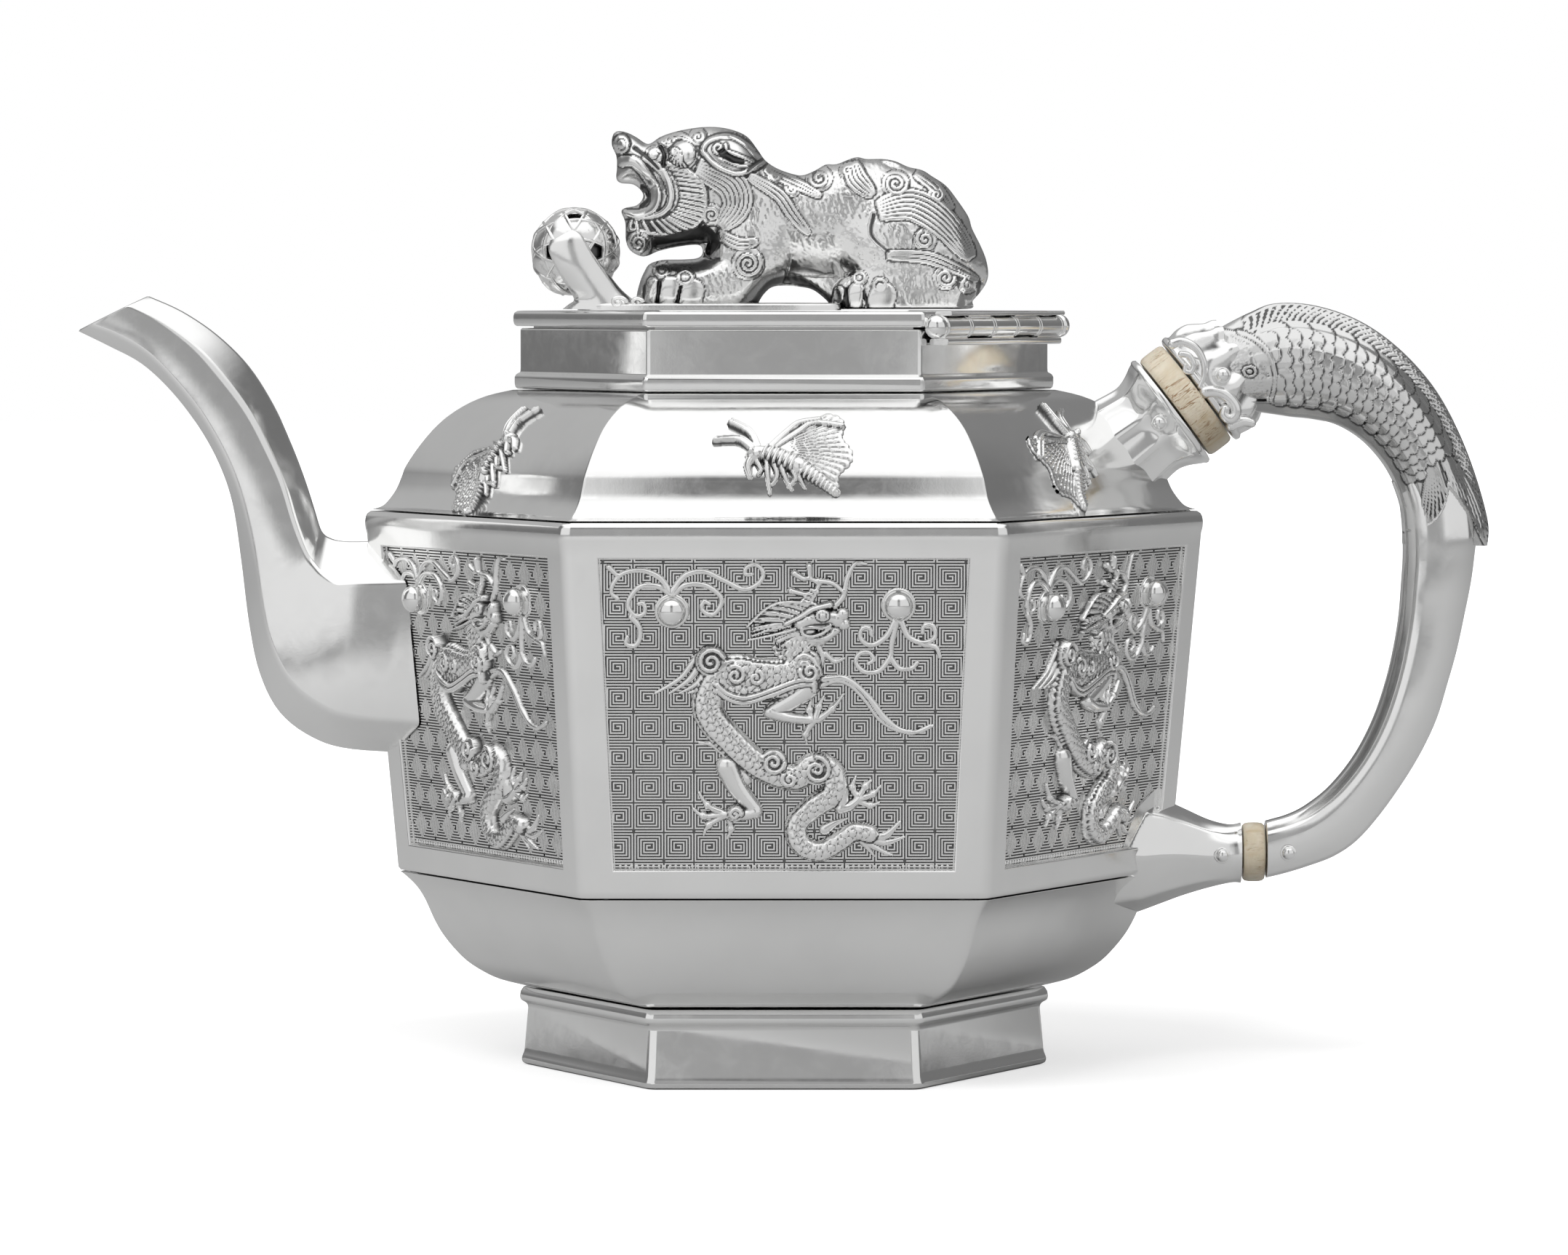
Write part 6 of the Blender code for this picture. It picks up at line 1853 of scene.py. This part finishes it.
def make_ball():
    """A brocade ball of six broad bands woven over a core, each band edged with a thin line; the core is painted
    dark as the shade inside the ball.
    """
    golden = (1 + math.sqrt(5)) / 2
    axes = [Vector(axis).normalized() for axis in (
        (0, 1, golden), (0, -1, golden), (1, golden, 0), (-1, golden, 0), (golden, 0, 1), (golden, 0, -1))]
    section = [(-2.32, -0.6), (-2.3, -0.12), (-2.1, 0.0), (-1.8, -0.02), (-1.65, -0.22), (-1.3, -0.06),
               (-0.6, 0.06), (0.0, 0.1),
               (0.6, 0.06), (1.3, -0.06), (1.65, -0.22), (1.8, -0.02), (2.1, 0.0), (2.3, -0.12), (2.32, -0.6)]
    parts = []
    steps = 120
    for axis in axes:
        side = axis.orthogonal().normalized()
        other = axis.cross(side)
        rings = []
        for step in range(steps):
            angle = math.tau * step / steps
            outwards = side * math.cos(angle) + other * math.sin(angle)
            weave = 0.16 * math.sin(5 * angle)
            rings.append([BALL_CENTRE + outwards * (BALL_RADIUS - 0.2 + lift + weave) + axis * across
                          for across, lift in section])
        vertices = [tuple(point) for ring in rings for point in ring]
        width = len(section)
        faces = []
        for row in range(steps):
            for column in range(width):
                after_row, after = (row + 1) % steps, (column + 1) % width
                faces.append((row * width + column, after_row * width + column, after_row * width + after,
                             row * width + after))
        parts.append((vertices, faces))
    core = [(0.985 * 6.9 * math.cos(math.radians(lift)), 6.9 * math.sin(math.radians(lift)))
            for lift in range(-88, 89, 8)]
    parts.append(turned(Matrix.Translation(BALL_CENTRE), core, 36))
    vertices, faces = join_parts(*parts)
    piece = finish_mesh("brocade_ball_finished", vertices, faces, CHASED, "lid",
                        ("brocade_ball",), 50)
    # Painted shade: the core and the sunk edges of the bands take the dark tone, for the shade inside the ball.
    reach = np.array([(Vector(point) - BALL_CENTRE).length for point in vertices])
    write_attribute(piece.data, "cavity", np.clip((7.75 - reach) / 0.35, 0, 1))
# ---- the fish grip and its scrolled collar ----

FISH_STEP = 0.25
FISH_ACROSS = 20.0
FISH_STRIP = 2.9
# Across the fish, from the belly strip to the back: the share of the way and the share of the half width
# there.
FISH_BACK = [
    (0.0, 0.36), (0.02, 0.50), (0.09, 0.70), (0.125, 0.78), (0.145, 0.66), (0.16, 0.70), (0.24, 0.89), (0.35,
        0.985),
    (0.48, 1.0), (0.60, 0.97), (0.72, 0.86), (0.82, 0.70), (0.91, 0.50), (0.97, 0.28), (1.0, 0.06),
]
FISH_FIN = FISH_BACK[:9] + [
    (0.60, 0.95), (0.70, 0.83), (0.775, 0.64), (0.80, 0.50), (0.84, 0.40), (0.92, 0.28), (0.985, 0.16), (1.0,
        0.06),
]
FIN_SPAN = (4.5, 9.5, 47.0, 57.0)
GILL_REACH = 8.1
TAIL_ROOT = 15.0
# The forked tail's end: across the fish, and how far short of the end the tail stops there.
TAIL_FORK = [(0.0, 2.4), (2.4, 2.5), (5.0, 3.3), (7.6, 4.9), (9.8, 7.0), (11.6, 9.4), (12.3, 10.6), (13.2,
             9.2),
             (14.8, 6.6), (16.6, 3.6), (18.4, 1.0), (19.4, 0.2), (20.0, 0.0)]
ARM_UNDER_TAIL = [(121.2, 109.5, 109.5, 105.2, 5.3), (123.6, 102.5, 111.0, 100.8, 5.8)]
COLLAR_SCROLLS = [
    ([(69.4, 130.0), (71.2, 130.4), (73.6, 129.2), (74.9, 126.8), (75.0, 124.4), (74.2, 122.4)], 0.9, 0.45,
     9.3),
    ([(70.9, 128.2), (72.3, 127.9), (73.1, 126.4), (72.6, 125.0), (71.6, 125.2), (71.6, 126.2)], 0.6, 0.35,
     9.7),
    ([(75.2, 121.4), (76.8, 121.5), (78.6, 121.0), (80.3, 119.4), (80.7, 117.6), (79.7, 116.6), (78.6,
     117.4), (78.8, 118.4)], 1.2, 0.9, 9.0),
    ([(80.2, 115.6), (82.2, 116.2), (83.6, 115.9)], 1.3, 0.9, 7.0),
]


def gill_line(across):
    """How far from the nose the gill's edge lies, at a place across the fish."""
    return GILL_REACH - 0.055 * (across - 9.5) ** 2


def draw_scales(detail, length):
    """Rows of overlapping scales; each rises to a free edge that points to the tail."""
    for column in range(int(length / 1.86)):
        for row in range(8):
            u, v = 7.4 + 1.86 * column, 3.5 + 2.62 * row + (1.31 if column % 2 else 0)
            narrow = 16.1 - 1.6 * np.clip((u - 40) / 15, 0, 1)
            if v > narrow or u > length - TAIL_ROOT - 1.4 + 0.3 * abs(v - 11):
                continue
            rows = slice(*np.searchsorted(detail.ys, (v - 1.7, v + 1.7)))
            columns = slice(*np.searchsorted(detail.xs, (u - 2.4, u + 2.4)))
            du, dv = (detail.x[rows, columns] - u) / 2.3, (detail.y[rows, columns] - v) / 1.62
            inside = np.abs(du) ** 2.4 + np.abs(dv) ** 2.4 < 1
            edge = np.abs(du) ** 2.4 + np.abs(dv) ** 2.4 > 0.72
            rise = 0.14 + 0.27 * (1 + du) + 0.14 * (1 - dv * dv) + np.where(edge & (du > 0), 0.05, 0)
            gill = u - GILL_REACH + 0.055 * (v - 9.5) ** 2 > -0.6
            detail.raise_to((rows, columns), np.where(inside & gill, rise, 0))


def draw_fish_head(detail):
    """A stippled cheek inside the gill's rim, a ring eye, and a fringe behind the gill."""
    rim = [(gill_line(v), v) for v in np.linspace(3.2, 17.6, 13)]
    detail.stroke(rim, 0.42, 0.42, 0.5, base=0.25, steps=3)
    detail.stroke([(u - 0.8, v) for u, v in rim], 0.36, 0.36, 0.12, base=0.3, steps=3)
    for u, v in rim[1:-1]:
        for shift in (-0.4, 0.4):
            detail.stroke([(u + 0.4, v + shift), (u + 1.7, v + shift * 1.1)], 0.24, 0.18, 0.22, base=0.2,
                          steps=1)
    inside = (detail.x < gill_line(detail.y)) & (detail.y > FISH_STRIP + 0.3)
    detail.height = np.maximum(detail.height, np.where(inside, 0.25, 0))
    chance = np.random.default_rng(7)
    for u, v in zip(chance.uniform(0.6, 7.4, 620), chance.uniform(3.6, 17.0, 620)):
        if u < GILL_REACH - 0.9 - 0.055 * (v - 9.5) ** 2 and math.hypot(u - 3.6, v - 9.4) > 1.6:
            detail.dome((u, v), 0.2, 0.09, base=0.25)
    ring = [(3.6 + 1.05 * math.cos(math.tau * s / 16), 9.4 + 1.05 * math.sin(math.tau * s / 16))
            for s in range(17)]
    detail.stroke(ring, 0.27, 0.27, 0.38, base=0.3, steps=2)
    detail.dome((3.6, 9.4), 0.62, 0.5, base=0.1)


def draw_fins(detail, length):
    """Beaded rays in the back fin, and the long rays of the forked tail."""
    start, end = FIN_SPAN[0] + 0.8, FIN_SPAN[3] - 1.0
    for index in range(56):
        share = index / 55
        u = start + (end - start) * share
        reach = 2.9 * min(1.0, 5 * share + 0.35)
        detail.stroke([(u, 16.2), (u + 0.9, 17.8), (u + reach, 19.75)], 0.3, 0.24, 0.22, base=0.08, steps=3)
        for bead in range(5):
            t = 0.12 + 0.17 * bead
            detail.dome((u + 0.5 + reach * t * 0.9, 16.3 + 3.4 * t), 0.17, 0.16, base=0.2)
    detail.stroke([(start - 0.4, 16.1), (start + 1, 18.6), (start + 3, 19.7), (30, 19.8), (end, 19.6)], 0.3,
                  0.25, 0.2, base=0.05)
    root = length - TAIL_ROOT
    for index in range(8):
        share = index / 7
        tip = (length - 3.1 - 6.4 * share ** 1.4, 2.4 + 9.2 * share)
        detail.stroke([(root - 0.5, 8.6 + 2.6 * share), (root + 5, 5.4 + 5.6 * share), tip], 0.42, 0.36,
                      0.34, base=0.1)
    for index in range(7):
        share = index / 6
        tip = (length - 0.9 - 8.2 * (1 - share) ** 1.3, 19.2 - 6.2 * (1 - share))
        detail.stroke([(root - 0.5, 12.4 + 2.2 * share), (root + 5, 13.0 + 4.4 * share), tip], 0.42, 0.36,
                      0.34, base=0.1)
    edge = [(length - short - 0.35, across) for across, short in TAIL_FORK]
    detail.stroke(edge, 0.4, 0.4, 0.3, base=0.15, steps=2)
    detail.stroke([(0, FISH_STRIP - 0.25), (length * 0.5, FISH_STRIP - 0.25), (length - 3,
                  FISH_STRIP - 0.25)], 0.25, 0.25, 0.12, base=0.1)


def make_fish():
    """The carp that forms the grip: body, fin and tail drawn as relief on both sides of one closed skin."""
    stations = smooth_curve(GRIP_STATIONS, 12)
    middle = np.stack(((stations[:, 0] + stations[:, 2]) / 2, (stations[:, 1] + stations[:, 3]) / 2), axis=1)
    reached = np.concatenate(([0], np.cumsum(np.linalg.norm(np.diff(middle, axis=0), axis=1))))
    length = reached[-1]
    detail = Relief((0, 0), (length, FISH_ACROSS), FISH_STEP)
    draw_scales(detail, length)
    draw_fish_head(detail)
    draw_fins(detail, length)
    at = np.stack([np.interp(detail.xs, reached, stations[:, column]) for column in range(5)])
    share = detail.y / FISH_ACROSS
    x = at[2] + (at[0] - at[2]) * share
    z = at[3] + (at[1] - at[3]) * share
    plain = np.interp(share, *np.array(FISH_BACK).T)
    finned = np.interp(share, *np.array(FISH_FIN).T)
    fin = np.clip((detail.x - FIN_SPAN[0]) / (FIN_SPAN[1] - FIN_SPAN[0]), 0, 1)
    fin *= np.clip((FIN_SPAN[3] - detail.x) / (FIN_SPAN[3] - FIN_SPAN[2]), 0, 1)
    width = at[4] * (plain + (finned - plain) * fin)
    fade = np.clip((1 - share) / 0.03, 0, 1) * np.clip(share / 0.03, 0, 1)
    width = width + (detail.height - 0.35) * fade
    short = np.interp(detail.y, *np.array(TAIL_FORK).T)
    inner = (detail.x > length - short) | (detail.x >= detail.xs[-1] - 0.01)
    width = np.where(inner, np.minimum(width, at[4] * 0.45), width)
    front = np.stack((x, -width, z), axis=-1)
    back = np.stack((x, width, z), axis=-1)
    rings = np.concatenate((front, back[::-1]), axis=0).transpose(1, 0, 2)
    count, around = rings.shape[:2]
    ring_at = np.arange(count * around).reshape(count, around)
    after = np.roll(ring_at, -1, axis=1)
    quads = np.stack((ring_at[:-1], ring_at[1:], after[1:], after[:-1]), axis=-1).reshape(-1, 4)
    half = around // 2
    caps = []
    for row, turn in ((0, 1), (count - 1, -1)):
        ids = ring_at[row]
        caps += [(ids[i], ids[i + 1], ids[around - 2 - i], ids[around - 1 - i])[::turn]
                 for i in range(half - 1)]
    points = rings.reshape(-1, 3)
    piece = array_piece("fish_grip_finished", points, np.concatenate((quads, np.array(caps))), FISH_SILVER_SHADED,
                        "pot",
                        ("fish_grip",), 70)
    # Painted shade and sulphide: the hollows between the scales are darkened deeply.
    shade = detail.cavity(0.12, 7)
    write_attribute(piece.data, "cavity", np.concatenate((shade, shade[::-1]), axis=0).T.ravel())


def collar_scrolls():
    """The heavy C-scrolls that curl over each side of the collar."""
    parts = []
    for side in (-1, 1):
        for points, start, end, depth in COLLAR_SCROLLS:
            path = [Vector((x, side * depth, z)) for x, z in smooth_curve(points, 6)]
            parts.append(tube(path, lambda share, start=start, end=end: start + (end - start) * share, 12))
            for tip, radius in ((path[0], start), (path[-1], end)):
                cap = [(radius * math.cos(math.radians(lift)), radius * math.sin(math.radians(lift)))
                       for lift in range(-88, 89, 16)]
                parts.append(turned(Matrix.Translation(tip), cap, 16))
    return parts
# ---- room, light and camera ----

CAMERA_PLACE = Vector((0, -1.24, 0.140))
CAMERA_AIM = Vector((0, 0, 0.0789))
CAMERA_LENS = 158.2
SENSOR_WIDTH = 36.0

# The light tent: azimuth from the camera (right is positive) and elevation in degrees, half sizes,
# softness, level.
TENT_LEVEL = 0.17
TENT_PANELS = (
    (0, 82, 400, 34, 9, 0.96),       # diffuser overhead
    (-47, 14, 37, 36, 4, 0.62),      # broad diffuser to the left of the camera
    (47, 14, 37, 36, 4, 0.55),       # and to the right
    (0, 0, 12, 30, 5, 0.17),         # what stands behind the camera, between them
    (-154, 34, 30, 22, 9, 0.28),     # bounce behind, left
    (154, 34, 24, 22, 9, 0.05),      # and a weaker one on the right
)
# The floor's own light: for reflections, and for the lens near the pot and far from it.
FLOOR_GLOW = (0.0, 0.62, 1.0)


def tent_panel(tree, azimuth, elevation, panel):
    """How strongly a direction sees one panel of the tent."""
    centre, height, half_width, half_height, soft, level = panel

    def edge(value, middle, half):
        away = math_node(tree, "ABSOLUTE", math_node(tree, "SUBTRACT", value, middle))
        ramp = tree.nodes.new("ShaderNodeMapRange")
        ramp.interpolation_type = "SMOOTHSTEP"
        ramp.inputs["From Min"].default_value = half + soft
        ramp.inputs["From Max"].default_value = half - soft
        tree.links.new(away, ramp.inputs["Value"])
        return ramp.outputs["Result"]

    turned_azimuth = math_node(tree, "WRAP", math_node(tree, "SUBTRACT", azimuth, centre), 180, -180)
    inside = math_node(tree, "MULTIPLY", edge(turned_azimuth, 0, half_width), edge(elevation, height,
                       half_height))
    return math_node(tree, "MULTIPLY", inside, level)


def make_world():
    """A soft light tent: grey walls with broad diffusers; what the camera sees directly is the white sweep."""
    world = bpy.data.worlds.new("light_tent")
    bpy.context.scene.world = world
    world.use_nodes = True
    tree = world.node_tree
    nodes, links = tree.nodes, tree.links
    nodes.clear()

    split = nodes.new("ShaderNodeSeparateXYZ")
    links.new(nodes.new("ShaderNodeTexCoord").outputs["Generated"], split.inputs[0])
    x, y, z = split.outputs
    degrees = 180 / math.pi
    azimuth = math_node(tree, "MULTIPLY", math_node(tree, "ARCTAN2", x, math_node(tree, "MULTIPLY", y,
                        -1.0)), degrees)
    elevation = math_node(tree, "MULTIPLY", math_node(tree, "ARCSINE", z), degrees)
    level = math_node(tree, "ADD", TENT_LEVEL, 0.0)
    for panel in TENT_PANELS:
        level = math_node(tree, "ADD", level, tent_panel(tree, azimuth, elevation, panel))
    tent = nodes.new("ShaderNodeBackground")
    links.new(level, tent.inputs["Color"])
    sweep = nodes.new("ShaderNodeBackground")
    sweep.inputs["Color"].default_value = (1.0, 1.0, 1.0, 1)
    seen = nodes.new("ShaderNodeMixShader")
    links.new(nodes.new("ShaderNodeLightPath").outputs["Is Camera Ray"], seen.inputs[0])
    links.new(tent.outputs[0], seen.inputs[1])
    links.new(sweep.outputs[0], seen.inputs[2])
    output = nodes.new("ShaderNodeOutputWorld")
    links.new(seen.outputs[0], output.inputs["Surface"])


def camera_glow(nodes, links):
    """What the lens sees of the table: white, but for the soft shadow round the foot."""
    place = nodes.new("ShaderNodeNewGeometry")
    away = nodes.new("ShaderNodeVectorMath")
    away.operation = "LENGTH"
    links.new(place.outputs["Position"], away.inputs[0])
    rise = nodes.new("ShaderNodeMapRange")
    links.new(away.outputs["Value"], rise.inputs["Value"])
    for name, value in zip(("From Min", "From Max", "To Min", "To Max"), (0.10, 0.20, *FLOOR_GLOW[1:])):
        rise.inputs[name].default_value = value
    return rise.outputs["Result"]


def make_floor():
    """A wide white table top; reflections and bounced light see it a little greyer than the lens does."""
    reach = 6.0
    mesh = bpy.data.meshes.new("floor")
    mesh.from_pydata([(-reach, -reach, 0), (reach, -reach, 0), (reach, reach, 0), (-reach, reach, 0)], [],
                     [(0, 1, 2, 3)])
    material = bpy.data.materials.new("white_table")
    material.use_nodes = True
    nodes, links = material.node_tree.nodes, material.node_tree.links
    nodes.clear()
    shade = nodes.new("ShaderNodeBsdfDiffuse")
    shade.inputs["Color"].default_value = (0.42, 0.42, 0.42, 1)
    glow = nodes.new("ShaderNodeEmission")
    glow.inputs["Color"].default_value = (1, 1, 1, 1)
    seen = nodes.new("ShaderNodeLightPath")
    level = nodes.new("ShaderNodeMapRange")
    links.new(seen.outputs["Is Camera Ray"], level.inputs["Value"])
    level.inputs["To Min"].default_value = FLOOR_GLOW[0]
    links.new(camera_glow(nodes, links), level.inputs["To Max"])
    links.new(level.outputs["Result"], glow.inputs["Strength"])
    both = nodes.new("ShaderNodeAddShader")
    links.new(shade.outputs[0], both.inputs[0])
    links.new(glow.outputs[0], both.inputs[1])
    links.new(both.outputs[0], nodes.new("ShaderNodeOutputMaterial").inputs["Surface"])
    mesh.materials.append(material)
    floor = bpy.data.objects.new("floor", mesh)
    bpy.context.scene.collection.objects.link(floor)


def add_softbox(name, place, aim, size, energy):
    light = bpy.data.lights.new(name, "AREA")
    light.shape = "SQUARE"
    light.size = size
    light.energy = energy
    lamp = bpy.data.objects.new(name, light)
    lamp.location = place
    lamp.rotation_euler = (Vector(aim) - Vector(place)).to_track_quat("-Z", "Y").to_euler()
    lamp.visible_glossy = False
    bpy.context.scene.collection.objects.link(lamp)


def make_camera():
    camera = bpy.data.cameras.new("camera")
    camera.lens = CAMERA_LENS
    camera.sensor_width = SENSOR_WIDTH
    camera.clip_start = 0.05
    camera.clip_end = 50
    holder = bpy.data.objects.new("camera", camera)
    holder.location = CAMERA_PLACE
    holder.rotation_euler = (CAMERA_AIM - CAMERA_PLACE).to_track_quat("-Z", "Y").to_euler()
    bpy.context.scene.collection.objects.link(holder)
    bpy.context.scene.camera = holder


def make_room():
    make_world()
    make_floor()
    add_softbox("front_diffuser", (-0.35, -0.85, 0.95), (0, 0, 0.05), 0.6, 11)
    make_camera()
    bpy.context.scene.view_settings.view_transform = "Standard"
# ---- assembly ----

make_room()
make_foot()
make_bowl()
make_band()
make_shoulder()
make_neck()
make_spout()
panel_pieces()
moth_pieces()
make_insulator("upper_insulator_ring", upper_frame(), UPPER_RING_RADIUS, UPPER_RING_THICK, "upper_insulator")
make_insulator("lower_insulator_ring", lower_frame(), LOWER_RING_RADIUS, LOWER_RING_THICK, "lower_insulator")
make_rivet("upper_socket_rivet_head", (67.0, 115.9), 9.4, "upper_socket_rivet")
make_rivet("collar_rivet_head", (78.3, 124.4), 9.9, "collar_rivet")
make_rivet("lower_socket_rivet_head", (78.7, 38.2), 6.0, "lower_socket_rivet")
make_rivet("arm_rivet_head", (90.6, 38.6), 5.8, "arm_rivet")
make_upper_socket()
make_collar()
make_arm()
make_lower_socket()
make_hinge_leaf("neck_hinge_leaf_finished", "pot", (0, 2, 4), ((-2.2, 2.0), (1.5, 3.2)), ((-1.0, 1.0), (1.0,
                2.4)),
                "neck_hinge_leaf")
make_hinge_leaf("lid_hinge_leaf_finished", "lid", (1, 3), ((-1.1, -2.7), (2.2, -1.95)), ((-1.0, -2.3), (1.0,
                -1.0)),
                "lid_hinge_leaf")
make_hinge_pin()
make_lid_plate()
make_lion()
make_ribbon()
make_ball()
make_fish()

for node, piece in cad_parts.items():
    if not piece.hide_render:
        piece.data.materials.clear()
        piece.data.materials.append(CHASED if node.startswith(("lion", "panel_", "moth", "ribbon", "brocade",
                                    "fish")) else POLISHED)
